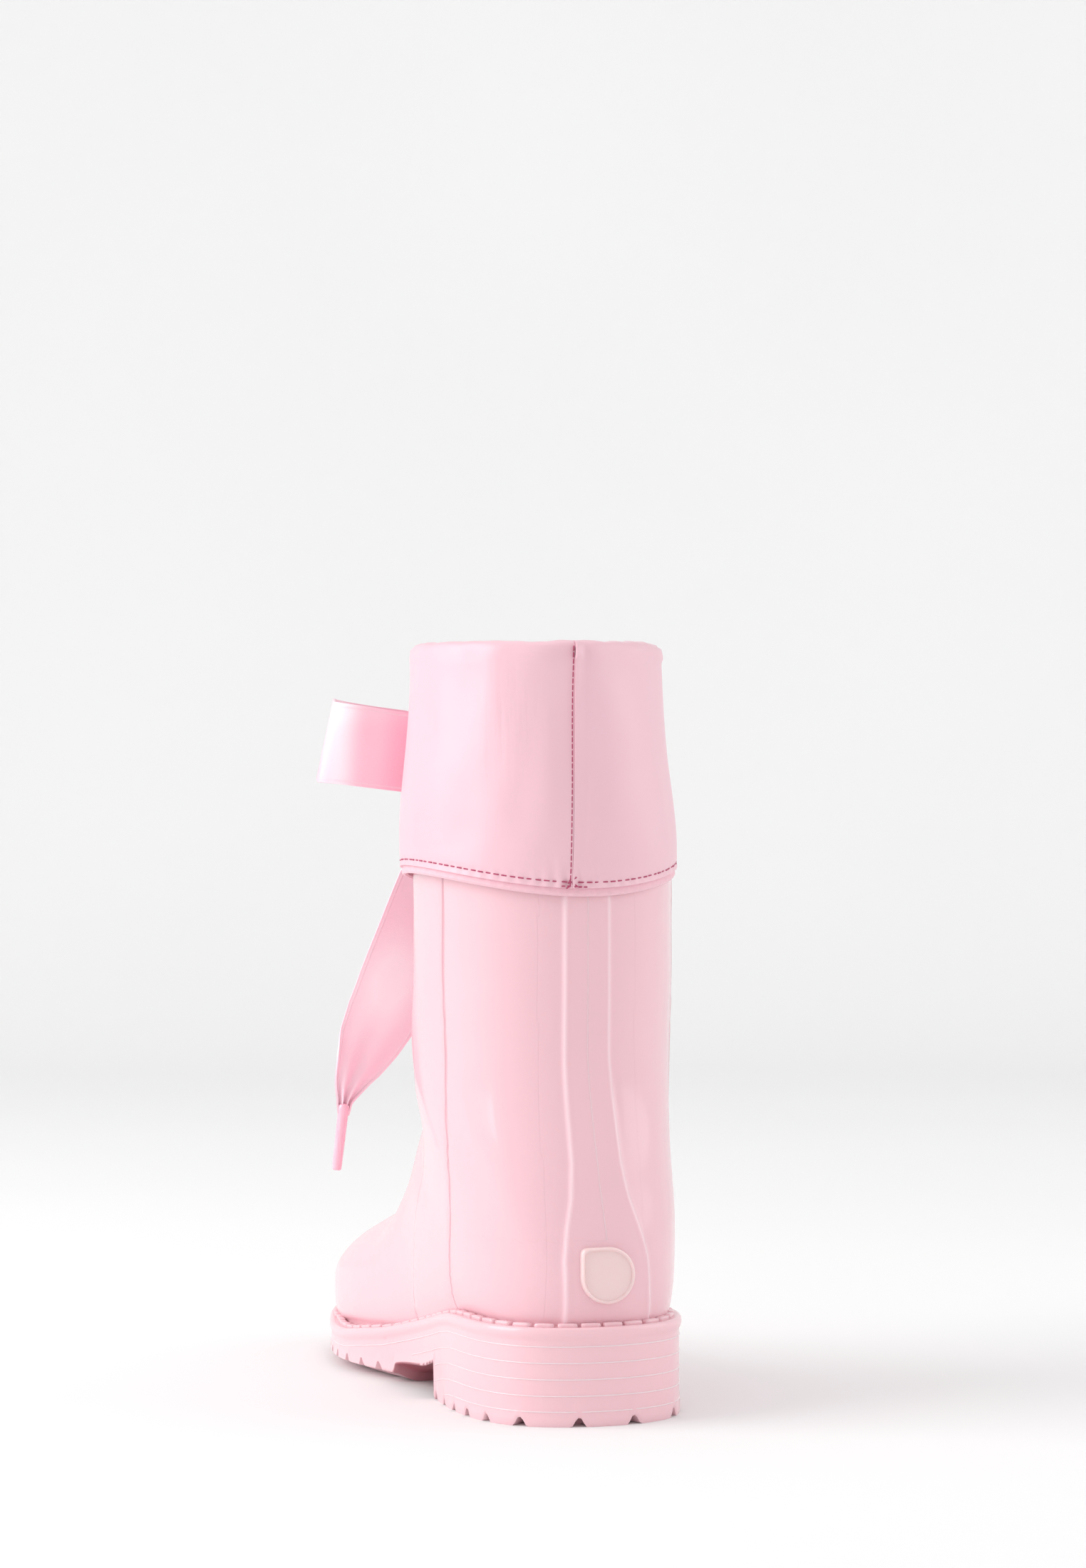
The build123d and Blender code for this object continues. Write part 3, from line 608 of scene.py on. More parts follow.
outer_rings = skin(boot_slices(0, SHARES), OUTER_STEPS)
relief, edge_mm, middle_mm, rear_mm, front_mm = shell_details(outer_rings)
shell_rings = outer_rings + outward(outer_rings) * relief[..., None]
inner_rings = skin(boot_slices(WALL, SHARES), INNER_STEPS)
shell = closed_boot("moulded_shell", shell_rings, inner_rings, SHELL_PVC)
spare = [FAR] * (len(shell.data.vertices) - edge_mm.size)
for layer, distances in (("strip_edge", edge_mm), ("strip_middle", middle_mm),
                         ("band_rear", rear_mm), ("band_front", front_mm)):
    give_values(shell, layer, list(distances.ravel()) + spare)
report(shell)

SOCK_COLUMNS = ring_shares(112)
sock_out = skin(boot_slices(WALL + 0.1, SOCK_COLUMNS), INNER_STEPS)
sock_in = skin(boot_slices(WALL + SOCK, SOCK_COLUMNS), INNER_STEPS)
sock = report(closed_boot("knitted_sock", sock_out, sock_in, KNIT))


def surface_of(rings):
    """A search tree over rings of points, for finding where a line meets them."""
    flat = [Vector(p) for p in rings.reshape(-1, 3)]
    return BVHTree.FromPolygons(flat, ring_faces(len(rings), rings.shape[1]))


shell_surface = surface_of(shell_rings)
sock_surface = surface_of(sock_in)

# %% [markdown]
# The footbed is a thin foam insole covered in cloth.  It is cut to the inside of the
# sock, so its half width at each station is found by looking sideways from the middle
# until the sock is met.  Its rim is rounded and it is cupped a little at the heel.

# %% footbed
BED_THICK, BED_SIDE_GAP, BED_END_GAP, BED_LIFT = 4.0, 1.0, 1.2, 0.35
OVER_BED = 24.0                            # a height inside the boot from toe to heel


def sideways(tree, y, z, side, fallback):
    """Half width of a surface at a place, seen sideways from the middle."""
    hit = tree.ray_cast(Vector((0, y, z)), Vector((side, 0, 0)))[0]
    return abs(hit.x) if hit else fallback


def footbed_rows():
    """Rows from heel to toe; in each, points along the bottom and points over the top."""
    low, high = box_mm("footbed")
    across = np.concatenate([np.linspace(-1, -0.86, 5), np.linspace(-0.7, 0.7, 15),
                             np.linspace(0.86, 1, 5)])
    rows = []
    for part in (1 - np.cos(np.linspace(0, math.pi, 74))) / 2:
        y = low[1] + BED_END_GAP + (high[1] - low[1] - 2 * BED_END_GAP) * part
        floor = sock_surface.ray_cast(Vector((0, y, OVER_BED)), Vector((0, 0, -1)))[0]
        bottom = (floor.z if floor else low[2]) + BED_LIFT
        end = max(1 - (2 * part - 1) ** 8, 0.0) ** 0.5
        left, right = [sideways(sock_surface, y, bottom + BED_THICK / 2, way, 20) - BED_SIDE_GAP
                       for way in (-1, 1)]
        top = []
        for a in across:
            x = a * (right if a > 0 else left) * (0.2 + 0.8 * end)
            round_over = max(1 - abs(a) ** 10, 0.0) ** 0.5 * max(end, 0.15)
            cup = 1.1 * abs(a) ** 3 * smooth_step(-y, -60, 10)
            top.append((x, y, bottom + (BED_THICK + cup) * (0.45 + 0.55 * round_over)))
        rows.append([(x, y, bottom) for x, y, _z in top] + top[::-1])
    return rows


def slab(name, rows, finish):
    """A closed slab from rows of points, each row running once round its section."""
    faces = closed_faces(len(rows), len(rows[0]))
    return tidy(new_piece(name, [p for row in rows for p in row], faces, finish))


footbed = report(slab("cloth_footbed", footbed_rows(), FOOTBED_CLOTH))

# %% [markdown]
# The outsole is one moulding: a heel block, a waist that arches clear of the floor and a
# forefoot with lugs.  Its wall follows an outline seen from above.  Columns of points run
# from the outline to the sole's middle line, fanning out round the heel and the toe, so
# notches can be cut square to the edge all the way round.

# %% outline of the sole
SOLE_LONG = 205.0
HALF_HEEL, HALF_BALL, HALF_WAIST = 33.0, 38.0, 30.0


def sole_outline():
    """Control points of the outline, as x and station, round from the heel's back."""
    inner, outer = HALF_HEEL + HEEL_SET, HALF_BALL + BALL_SET
    return [(HEEL_SET / 2, 0), (inner * 0.72, HALF_HEEL * 0.27), (inner, HALF_HEEL * 1.05),
            (HALF_WAIST * 0.96, 0.46 * SOLE_LONG), (HALF_BALL, 0.68 * SOLE_LONG),
            (HALF_BALL * 0.86, 0.85 * SOLE_LONG), (HALF_BALL * 0.5, SOLE_LONG - HALF_BALL * 0.15),
            (0, SOLE_LONG), (-outer * 0.5, SOLE_LONG - HALF_BALL * 0.19),
            (-outer * 0.86, 0.83 * SOLE_LONG), (-outer, 0.66 * SOLE_LONG),
            (-HALF_WAIST * 1.04, 0.44 * SOLE_LONG), (-HALF_HEEL, HALF_HEEL * 1.05),
            (-HALF_HEEL * 0.72, HALF_HEEL * 0.27)]


def closed_curve(controls, per_span=80):
    """A smooth closed curve through the control points."""
    p = np.array(controls, dtype=float)
    n = len(p)
    h = np.linalg.norm(np.roll(p, -1, axis=0) - p, axis=1)
    matrix, right = np.zeros((n, n)), np.zeros((n, 2))
    for i in range(n):
        before, after = h[i - 1], h[i]
        matrix[i, (i - 1) % n] += after
        matrix[i, i] += 2 * (before + after)
        matrix[i, (i + 1) % n] += before
        right[i] = 3 * (after / before * (p[i] - p[i - 1])
                        + before / after * (p[(i + 1) % n] - p[i]))
    tangent = np.linalg.solve(matrix, right)
    return np.array([hermite(p[i], tangent[i] * h[i], p[(i + 1) % n],
                             tangent[(i + 1) % n] * h[i], step / per_span)
                     for i in range(n) for step in range(per_span)])


OUTLINE = closed_curve(sole_outline())
HEEL_FAN, TOE_FAN = 31.0, 172.0            # stations the end columns radiate from
COLUMN_STEP = 0.94                         # between the straight columns


def reach(origin, direction):
    """Distance from origin to the outline along a direction."""
    shape = OUTLINE - np.array(origin)
    side = np.array([-direction[1], direction[0]])
    off, ahead = shape @ side, shape @ np.array(direction)
    nxt_off, nxt_ahead = np.roll(off, -1), np.roll(ahead, -1)
    hits = np.where((off * nxt_off <= 0) & (np.abs(off - nxt_off) > 1e-9) & (ahead > 0))[0]
    share = off[hits] / (off[hits] - nxt_off[hits])
    return float(np.max(ahead[hits] + (nxt_ahead[hits] - ahead[hits]) * share))


def half_turn(count, station, way):
    """Directions that fan out from one station, over half a turn."""
    return [((0.0, station), (way * math.cos(turn), way * math.sin(turn)))
            for turn in [math.pi * k / count for k in range(count)]]


def sole_columns():
    """(middle-line point, unit direction, distance to the edge) for every column."""
    stations = np.arange(HEEL_FAN, TOE_FAN, COLUMN_STEP)
    columns = half_turn(112, HEEL_FAN, -1.0) + [((0.0, at), (1.0, 0.0)) for at in stations]
    columns += half_turn(96, TOE_FAN, 1.0)
    columns += [((0.0, at), (-1.0, 0.0)) for at in stations[::-1] + (TOE_FAN - stations[-1])]
    return [(start, way, reach(start, way)) for start, way in columns]


COLS = sole_columns()
print(len(COLS), "columns round the sole")

# %% heights of the sole
TOP_LINE = ([-10, 40, 49, 60, 83, 110, 136, 152, 176, 195, 215],
            [29, 29, 28.6, 27.0, 22.4, 16.6, 13.1, 12.5, 12.6, 14.2, 17.0])
UNDERFOOT = [20, 80, 140, 200], [14.4, 11.0, 5.6, 6.0]      # top of the moulding under the foot
TOE_SPRING = [163, 205], [0.0, 4.0]
BREAST, WAIST_END = 68.0, 103.0            # the heel block's front face, the forefoot's start
WAIST_HIGH, WAIST_LOW = 11.2, 2.6
# Grooves across the tread: first station, last station and pitch.
HEEL_GROOVES, TOE_GROOVES = (21.0, 66.0, 11.0), (WAIST_END + 9.0, 172.0, 10.5)
# Notches round the edge: where they start and their pitch, in degrees, and the edge's radius.
HEEL_NOTCHES, TOE_NOTCHES = (21.5, 33.0, 32.0), (2.0, 22.0, 34.0)
GROOVE_DEEP, NOTCH_HIGH, MIDDLE_RIB = 2.3, 2.7, 4.0
EDGE_LIFT = 3.0


def top_height(station):
    return float(np.interp(station, *TOP_LINE))


def past_breast(station):
    """How far through the waist a station is: 0 at the heel block, 1 at the forefoot."""
    return (station - BREAST) / (WAIST_END - BREAST)


def underside(station):
    if station < BREAST:
        return 0.0
    if station < WAIST_END:
        return WAIST_HIGH - (WAIST_HIGH - WAIST_LOW) * past_breast(station)
    return float(np.interp(station, *TOE_SPRING))


def groove(station, across):
    """Depth of the tread's grooves at a place on the bottom."""
    if BREAST <= station <= WAIST_END or abs(across) < MIDDLE_RIB:
        return 0.0
    first, last, pitch = HEEL_GROOVES if station < BREAST else TOE_GROOVES
    if not first - 2.0 < station < last:
        return 0.0
    off = abs((station - first + pitch / 2) % pitch - pitch / 2)
    return GROOVE_DEEP * float(smooth_step(1.5 - off, 0.0, 0.7))


def notch(column):
    """Height cut out of the bottom edge at a column, a small wedge every so often."""
    (_x, station), (aside, ahead), _length = column
    turn = math.degrees(math.atan2(abs(ahead), aside))
    if station == HEEL_FAN and ahead < 0 and 21 < turn < 154:
        first, pitch, radius = HEEL_NOTCHES
    elif station == TOE_FAN and ahead > 0:
        first, pitch, radius = TOE_NOTCHES
    else:
        return 0.0
    off = math.radians(abs((turn - first) % pitch - pitch / 2)) * radius
    return NOTCH_HIGH * float(smooth_step(2.5 - off, 0.0, 2.2))


def edge_lift(station, share):
    """The forefoot's rim is rounded up off the floor, more towards its edge."""
    from_tread = smooth_step(station, BREAST + 10, WAIST_END)
    return EDGE_LIFT * float(from_tread * smooth_step(share, 0.66, 1.0) ** 2)


# %% [markdown]
# From the bottom edge a column climbs the wall, swells into the rounded bead of the
# welt, dips to the ledge that carries the stitch pattern and ends just inside the boot's
# skin.  From there it drops under the foot, so the moulding is closed.

# %% outsole
# The bead's section: out from the wall, and up from the top line.
BEAD = [(0.0, -4.2), (0.1, -3.6), (0.42, -3.0), (0.66, -2.3), (0.75, -1.5), (0.62, -0.7),
        (0.25, -0.2), (-0.3, 0.0), (-0.8, -0.06), (-1.05, -0.15), (-1.2, -0.2)]
WALL_SHARES = np.concatenate([[0.0, 0.04, 0.1], np.linspace(0.2, 0.9, 8), [0.96]])
LEDGE_DROP, LEDGE_BITE = 0.2, 0.9          # ledge below the top line, and into the boot's skin
WALL_IN = 1.0                              # the wall stands this far inside the outline


def beside(column, distance, z):
    """The point at a distance along a column from the sole's middle line, at a height."""
    (x, station), (aside, ahead), _length = column
    return x + aside * distance, station + ahead * distance - HEEL_BACK, z


def shell_reach(column, z):
    """Distance along a column to the boot's skin, at a height."""
    start = beside(column, 0.0, z)
    hit = shell_surface.ray_cast(Vector(start), Vector((*column[1], 0)))[0]
    return math.dist((hit.x, hit.y), start[:2]) if hit else None


def column_profile(column):
    """Points of one column, from the bottom's middle, out and up, to the top's middle."""
    (_x, start), (aside, ahead), length = column
    edge = length - WALL_IN
    points = []
    for share in np.linspace(0.0, 1.0, 19) ** 0.8:
        distance = edge * share
        station = start + ahead * distance
        z = underside(station) + groove(station, aside * distance)
        if share > 0.84:
            z = max(z, underside(station) + notch(column))
        points.append(beside(column, distance, z + edge_lift(station, share)))
    rim_station = start + ahead * length
    bottom, top = points[-1][2], top_height(rim_station)
    wobble = 0.10 * noise.noise(Vector((points[-1][0] * 0.6, points[-1][1] * 0.6, 0)))
    for share in WALL_SHARES[1:]:
        z = bottom + (top + BEAD[0][1] - bottom) * share
        flare = 0.35 * smooth_step(4.0 - (z - bottom), 0, 4.0)
        points.append(beside(column, edge + wobble * (1 - share) + flare, z))
    points += [beside(column, edge + out, top + rise) for out, rise in BEAD]
    ledge = top - LEDGE_DROP
    inner = shell_reach(column, ledge)
    inner = min(inner - LEDGE_BITE, edge - 1.8) if inner else edge - 4.0
    under = min(max(float(np.interp(rim_station, *UNDERFOOT)), bottom + 0.6), ledge - 1)
    points += [beside(column, (edge - 1.2 + inner) / 2, ledge), beside(column, inner, ledge),
               beside(column, inner - 0.3, under), beside(column, 0.0, under)]
    return points, max(min(inner + LEDGE_BITE + 0.9, edge - 1.6), edge - 3.0), ledge


profiles = [column_profile(column) for column in COLS]
sole_points = np.array([points for points, _tab, _ledge in profiles]).transpose(1, 0, 2)
outsole = new_piece("moulded_outsole", sole_points.reshape(-1, 3),
                    ring_faces(len(sole_points), len(COLS)), SOLE_PVC, sharp=48)
tidy(outsole, merge_mm=0.02)


def arch_shade_share(vertex):
    """1 on the parts that face down into the waist, where shade is painted into the colour."""
    station = vertex.co.y / MM + HEEL_BACK
    facing_down = (vertex.normal.z < -0.3) * (vertex.co.z < 13.5 * MM)
    return float(smooth_step(station, BREAST - 3, BREAST + 1)
                 * smooth_step(station, WAIST_END + 8, WAIST_END - 4) * facing_down)


give_values(outsole, "arch_shade", [arch_shade_share(v) for v in outsole.data.vertices])
report(outsole)

# %% [markdown]
# Rows of small things, the welt's stitch pattern and every line of sewing, are made by
# one Geometry Nodes tree: it spaces points evenly along a path, puts a rounded block on
# each, turned along the path, and realises them.  The tree's inputs hold the sizes.

# %% a row of rounded blocks along a path
class Tree:
    """A Geometry Nodes tree that starts from a path and ends realised and painted."""

    def __init__(self, name, finish, inputs):
        self.tree = bpy.data.node_groups.new(name, "GeometryNodeTree")
        face = self.tree.interface
        face.new_socket("Geometry", in_out="INPUT", socket_type="NodeSocketGeometry")
        for label, kind in inputs.items():
            face.new_socket(label, in_out="INPUT", socket_type="NodeSocket" + kind)
        face.new_socket("Geometry", in_out="OUTPUT", socket_type="NodeSocketGeometry")
        self.entry = self.node("NodeGroupInput")
        self.path = self.node("GeometryNodeMeshToCurve", {"Mesh": self.given("Geometry")})
        self.finish = finish

    def node(self, kind, values=None):
        """Adds a node, feeds its inputs from sockets or values, and gives its first output."""
        node = self.tree.nodes.new(kind)
        for label, value in (values or {}).items():
            if isinstance(value, bpy.types.NodeSocket):
                self.tree.links.new(value, node.inputs[label])
            else:
                node.inputs[label].default_value = value
        return node.outputs[0] if len(node.outputs) else node

    def given(self, label):
        return self.entry.node.outputs[label]

    def end(self, geometry):
        real = self.node("GeometryNodeRealizeInstances", {"Geometry": geometry})
        painted = self.node("GeometryNodeSetMaterial",
                            {"Geometry": real, "Material": self.finish})
        self.node("NodeGroupOutput", {"Geometry": painted})
        return self.tree


def row_tree(name, finish):
    """Geometry Nodes: count rounded blocks of a length, width and height along a path."""
    tree = Tree(name, finish, {"Count": "Int", "Length": "Float", "Width": "Float",
                               "Height": "Float"})
    spaced = tree.node("GeometryNodeResampleCurve",
                       {"Curve": tree.path, "Count": tree.given("Count")})
    size = tree.node("ShaderNodeCombineXYZ", {"X": tree.given("Length"),
                                              "Y": tree.given("Width"),
                                              "Z": tree.given("Height")})
    block = tree.node("GeometryNodeMeshCube", {"Size": size})
    rounded = tree.node("GeometryNodeSubdivisionSurface",
                        {"Mesh": block, "Level": 2, "Edge Crease": 0.55})
    turn = tree.node("FunctionNodeAlignRotationToVector",
                     {"Vector": tree.node("GeometryNodeInputTangent")})
    turn.node.axis = "X"
    return tree.end(tree.node("GeometryNodeInstanceOnPoints",
                              {"Points": spaced, "Instance": rounded, "Rotation": turn}))


def grown(name, tree, path, closed, sizes):
    """Runs a tree on a path of points, in millimetres, and keeps the result as a plain mesh."""
    mesh = bpy.data.meshes.new(name + "_path")
    count = len(path)
    edges = [(i, (i + 1) % count) for i in range(count if closed else count - 1)]
    mesh.from_pydata(in_metres(path), edges, [])
    carrier = placed(name + "_path", mesh)
    modifier = carrier.modifiers.new("row", "NODES")
    modifier.node_group = tree
    for item in tree.interface.items_tree:
        if item.in_out == "INPUT" and item.name in sizes:
            modifier[item.identifier] = sizes[item.name]
    result = evaluated(carrier)
    bpy.data.objects.remove(carrier)
    result.name = name
    finish = next(m for m in result.materials if m)
    result.materials.clear()
    result.materials.append(finish)
    result.polygons.foreach_set("material_index", [0] * len(result.polygons))
    result.polygons.foreach_set("use_smooth", [True] * len(result.polygons))
    return placed(name, result)


# %% stitch pattern of the welt
def along(points):
    return float(sum(math.dist(a, b) for a, b in zip(points, points[1:])))


TAB_PERIOD, TAB_LONG, TAB_WIDE, TAB_HIGH = 6.8, 5.9, 2.2, 2.4
tab_path = [beside(column, tab, ledge - 0.1) for column, (_, tab, ledge) in zip(COLS, profiles)]
welt_tabs = grown("welt_stitch_tabs", row_tree("tabs_along_welt", SOLE_PVC), tab_path, True,
                  {"Count": round(along(tab_path) / TAB_PERIOD), "Length": TAB_LONG * MM,
                   "Width": TAB_WIDE * MM, "Height": TAB_HIGH * MM})
report(welt_tabs)

# %% [markdown]
# Five fine raised lines run round the wall, parallel to the welt: the marks of the mould
# plates.  A second tree sweeps a small round section along each line.  A line stops
# where the wall is too low for it.

# %% mould lines of the wall
LINE_LEVELS = 5.6, 10.4, 15.2, 20.0, 24.6      # below the welt
LINE_RADIUS, LINE_OVER_EDGE = 0.2, 3.0
SHORTEST_LINE = 20                         # in columns


def bead_tree(name, finish):
    """Geometry Nodes: a thin round bead swept along a path."""
    tree = Tree(name, finish, {"Radius": "Float"})
    circle = tree.node("GeometryNodeCurvePrimitiveCircle",
                       {"Resolution": 6, "Radius": tree.given("Radius")})
    return tree.end(tree.node("GeometryNodeCurveToMesh",
                              {"Curve": tree.path, "Profile Curve": circle, "Fill Caps": True}))


def joined(name, parts):
    """One mesh object out of several that share a finish."""
    shape = bmesh.new()
    for part in parts:
        shape.from_mesh(part.data)
    mesh = bpy.data.meshes.new(name)
    shape.to_mesh(mesh)
    shape.free()
    mesh.materials.append(parts[0].data.materials[0])
    for part in parts:
        bpy.data.objects.remove(part)
    return placed(name, mesh)


def line_runs(level):
    """The stretches of wall that are high enough to carry a line at this level."""
    runs = [[]]
    for column in COLS + COLS[:1]:
        (_x, start), (_aside, ahead), length = column
        station = start + ahead * length
        z = top_height(station) - level
        if z > underside(station) + edge_lift(station, 1.0) + LINE_OVER_EDGE:
            runs[-1].append(beside(column, length - WALL_IN + 0.02, z))
        elif runs[-1]:
            runs.append([])
    return [run for run in runs if len(run) > SHORTEST_LINE]


line_tree = bead_tree("line_round_wall", LINE_PVC)
wall_lines = [grown(f"line_{level}_{i}", line_tree, run, False, {"Radius": LINE_RADIUS * MM})
              for level in LINE_LEVELS for i, run in enumerate(line_runs(level))]
wall_lines = report(joined("mould_lines", wall_lines))

# %% [markdown]
# A small badge sits on the strip over the heel: a disc with one square corner and a
# raised rim, moulded in a paler, cloudier PVC.  It is left plain.  Its back follows the
# shell, found by looking forward from behind the heel.

# %% heel badge
BADGE_X, BADGE_Z, BADGE_R = 2.3, 43.6, 8.4


def badge_reach(turn):
    """Radius of the badge's outline: round, with a square upper corner on the left."""
    c, s = math.cos(turn), math.sin(turn)
    squareness = 9.0
    if c < 0 < s:
        return BADGE_R / (abs(c) ** squareness + abs(s) ** squareness) ** (1 / squareness)
    return BADGE_R


def skin_y(x, z):
    hit = shell_surface.ray_cast(Vector((x, -60, z)), Vector((0, 1, 0)))[0]
    return hit.y if hit else -28.0


# From the middle out, over the rim and round the back: share of the radius, and height.
BADGE_STEPS = [(0.02, 1.35), (0.3, 1.32), (0.6, 1.2), (0.8, 1.05), (0.865, 1.05), (0.9, 1.5),
               (0.94, 1.75), (0.98, 1.6), (1.0, 1.2), (1.01, 0.4), (1.0, -0.5), (0.5, -0.8),
               (0.02, -0.8)]
BADGE_SIDES = 96
badge_points = []
for share, height in BADGE_STEPS:
    for turn in turns(BADGE_SIDES):
        radius = badge_reach(turn) * share
        x, z = BADGE_X + radius * math.cos(turn), BADGE_Z + radius * math.sin(turn)
        badge_points.append((x, skin_y(x, z) - height, z))
badge = new_piece("bare_badge", badge_points, closed_faces(len(BADGE_STEPS), BADGE_SIDES),
                  BADGE_PVC, sharp=50)
report(tidy(badge))

# %% [markdown]
# The cuff is two panels of patent sheet, sewn together at the back and the front, turned
# down over the rim and tucked inside the shaft.  Each panel is a grid of points: rows go
# down the outside leg, over the soft fold and down inside.  Gentle dents, a wavy fold
# and puckers along the stitches make it read as soft sheet, then Solidify gives the
# sheet its thickness.

# %% shape of the cuff
CUFF_TOP_HALF, CUFF_HEM_HALF = 37.4, 41.7
CUFF_DEEPER = 4.2                          # how much deeper than wide the cuff is, in halves
CUFF_SHEET, TUCK = 1.2, 30.0               # the sheet's thickness, and how far it goes inside
HEM_DIP = 7.4 * (46.3 / 50.4) ** 2         # how much lower the hem is at its two seams
HEM_SIDE = HEM_Z - 0.4                     # and how high it is at the sides
SEAM_RADIUS = 42.0                         # turns a distance round the cuff into an angle


def down_cuff(z, most):
    return limited((RIM - z) / CUFF_DROP, 0.0, most)


def bell_half(z):
    """Half width of the cuff's outside at a height: a bell that opens downwards."""
    opened = (1 - math.cos(math.pi * down_cuff(z, 1.0))) / 2
    return CUFF_TOP_HALF + (CUFF_HEM_HALF - CUFF_TOP_HALF) * opened


def hem_height(turn):
    """Height of the hem: lowest at the two seams."""
    return HEM_SIDE - HEM_DIP * math.cos(turn) ** 2


def cuff_place(turn, half, z):
    """A point of the cuff, set over to the outer side at the back and sides but not in front."""
    turned = abs(math.remainder(turn, 2 * math.pi))
    fade = float(smooth_step(turned, math.pi, 1.9)) if turned > 1.9 else 1.0
    return (lean(z) * fade + half * math.sin(turn),
            SHAFT_MIDDLE - (half + CUFF_DEEPER) * math.cos(turn), z)


def seam_turn(z):
    """The back seam leans a little off the middle towards the hem."""
    return -(1.4 + 3.6 * down_cuff(z, 1.1) ** 0.8) / SEAM_RADIUS


# The fold's section, from the outside leg over to the inside one: inset, and height
# above the rim.
FOLD = [(0.0, -6.0), (0.05, -3.6), (0.45, -1.7), (1.4, -0.5), (2.9, -0.05), (4.7, 0.0),
        (6.6, -0.5), (8.1, -1.6), (9.1, -3.4), (9.5, -6.0)]
FOLD_WIDE = FOLD[-1][0]


def cuff_profile(turn):
    """(inset from the outside, height) down one column of the cuff, from its hem."""
    outside = [(0.0, z) for z in np.linspace(hem_height(turn), RIM + FOLD[0][1], 66)[:-1]]
    fold = [(a + (b - a) * t, RIM + za + (zb - za) * t)
            for (a, za), (b, zb) in zip(FOLD, FOLD[1:]) for t in (0.0, 0.5)]
    inside = [(FOLD_WIDE, z) for z in np.linspace(RIM + FOLD[-1][1], RIM - TUCK, 20)]
    return outside + fold + inside


# Soft dents and swellings: angle from the back, height, reach round and up, depth.
DENTS = ((-0.95, 192, 0.20, 9, 0.55), (-0.50, 182, 0.13, 10, -0.5), (-0.78, 172, 0.25, 7, -0.35),
         (-0.28, 200, 0.08, 22, 0.25), (-1.36, 207, 0.10, 7, -0.9), (-1.30, 190, 0.16, 10, 0.5),
         (-0.30, 224, 0.16, 4, 0.5), (0.8, 205, 0.3, 20, -0.3))
PUCKER_PITCH = 4.3


def cuff_push(turn, z, hem, side, from_seam):
    """How far the outside leg stands off its bell, in millimetres."""
    calm, rise = float(smooth_step(z, hem + 1, hem + 14)), z - hem
    push = 0.8 * calm * noise.noise(Vector((turn * 1.5 + 3, z * 0.022, side)))
    push += 0.4 * calm * noise.noise(Vector((turn * 4 + 1, z * 0.05, 7 + side)))
    push += sum(depth * hump(turn - at_turn, wide) * hump(z - at_z, tall)
                for at_turn, at_z, wide, tall, depth in DENTS)
    pucker = math.cos(turn * 44.0 * 2 * math.pi / PUCKER_PITCH)
    push += 0.16 * pucker * hump(rise - 1.2, 1.6) - 0.32 * hump(rise - 1.7, 0.8)
    if side > 0:                           # this panel laps over the other at the seam
        lift = 0.25 + 0.55 * hump(RIM - z, 16.0)
        push += lift * hump(from_seam, 1.6) - 0.2 * hump(from_seam - 3.8, 1.4)
    else:
        push -= 0.15 * hump(from_seam, 1.6)
    gather = hump(from_seam, 7.0) * hump(rise, 5.0)
    return push + 0.5 * gather * math.cos(from_seam * 1.6)


def cuff_point(share, side, inset, z):
    """A point of a panel, and how creased it is there, at a share round from the seam."""
    start = seam_turn(z) + side * 0.0008
    turn = start + (side * (math.pi - 0.002) - start) * share
    hem, from_seam = hem_height(turn), abs(turn - start) * SEAM_RADIUS
    if inset == 0:
        z += (hem - hem_height(share * math.pi)) * max(0.0, (RIM - 12 - z) / CUFF_DROP)
    outside = inset < 0.5
    push = cuff_push(turn, z, hem, side, from_seam) if outside else 0.0
    if 0 < inset < FOLD_WIDE:              # the fold is wavy, and keeps the outside's dents
        near = math.sin(math.pi * inset / FOLD_WIDE)
        z += 0.9 * near * noise.noise(Vector((turn * 5.5, 2.0 + side, 0)))
        z -= 0.7 * near * hump(turn + 0.42, 0.12)
        push += (1 - inset / FOLD_WIDE) * cuff_push(turn, RIM - 6, hem, side, from_seam)
    half = (bell_half(z) if inset < FOLD_WIDE else CUFF_TOP_HALF) - inset + push
    crease = hump(turn + 0.62, 0.38) * hump(z - 205, 17) if outside else 0.0
    return cuff_place(turn, half, z), crease


def cuff_panel(name, side):
    """One panel: columns from the back seam round to the front seam."""
    shares = np.linspace(0.0, 1.0, 131) ** 1.25
    columns = [[cuff_point(share, side, inset, z) for inset, z in cuff_profile(share * math.pi)]
               for share in shares]
    faces = ring_faces(len(columns), len(columns[0]), closed=False)
    if side > 0:
        faces = [f[::-1] for f in faces]
    panel = new_piece(name, [place for column in columns for place, _crease in column], faces,
                      PATENT, sharp=70)
    give_values(panel, "crease", [crease for column in columns for _place, crease in column])
    return panel


def thicken(piece, thickness_mm):
    """Gives an open sheet its thickness, on its inner side, and applies it."""
    solid = piece.modifiers.new("thickness", "SOLIDIFY")
    solid.thickness, solid.offset, solid.use_even_offset = thickness_mm * MM, -1.0, True
    mesh = evaluated(piece)
    piece.modifiers.clear()
    piece.data = mesh
    mesh.set_sharp_from_angle(angle=math.radians(60))
    return piece


# %% the two cuff panels
panels = []
for side, hand in HANDS:
    panel = cuff_panel(f"patent_{hand}_panel", side)
    facing = sum(p.normal.x * p.center.x * p.area for p in panel.data.polygons)
    print(panel.name, "faces out" if facing > 0 else "faces in")
    panels.append(report(thicken(panel, CUFF_SHEET)))

# %% [markdown]
# Behind the panels hangs a lining tape whose rounded edge shows as a second line below
# the hem.  It is one closed ring.

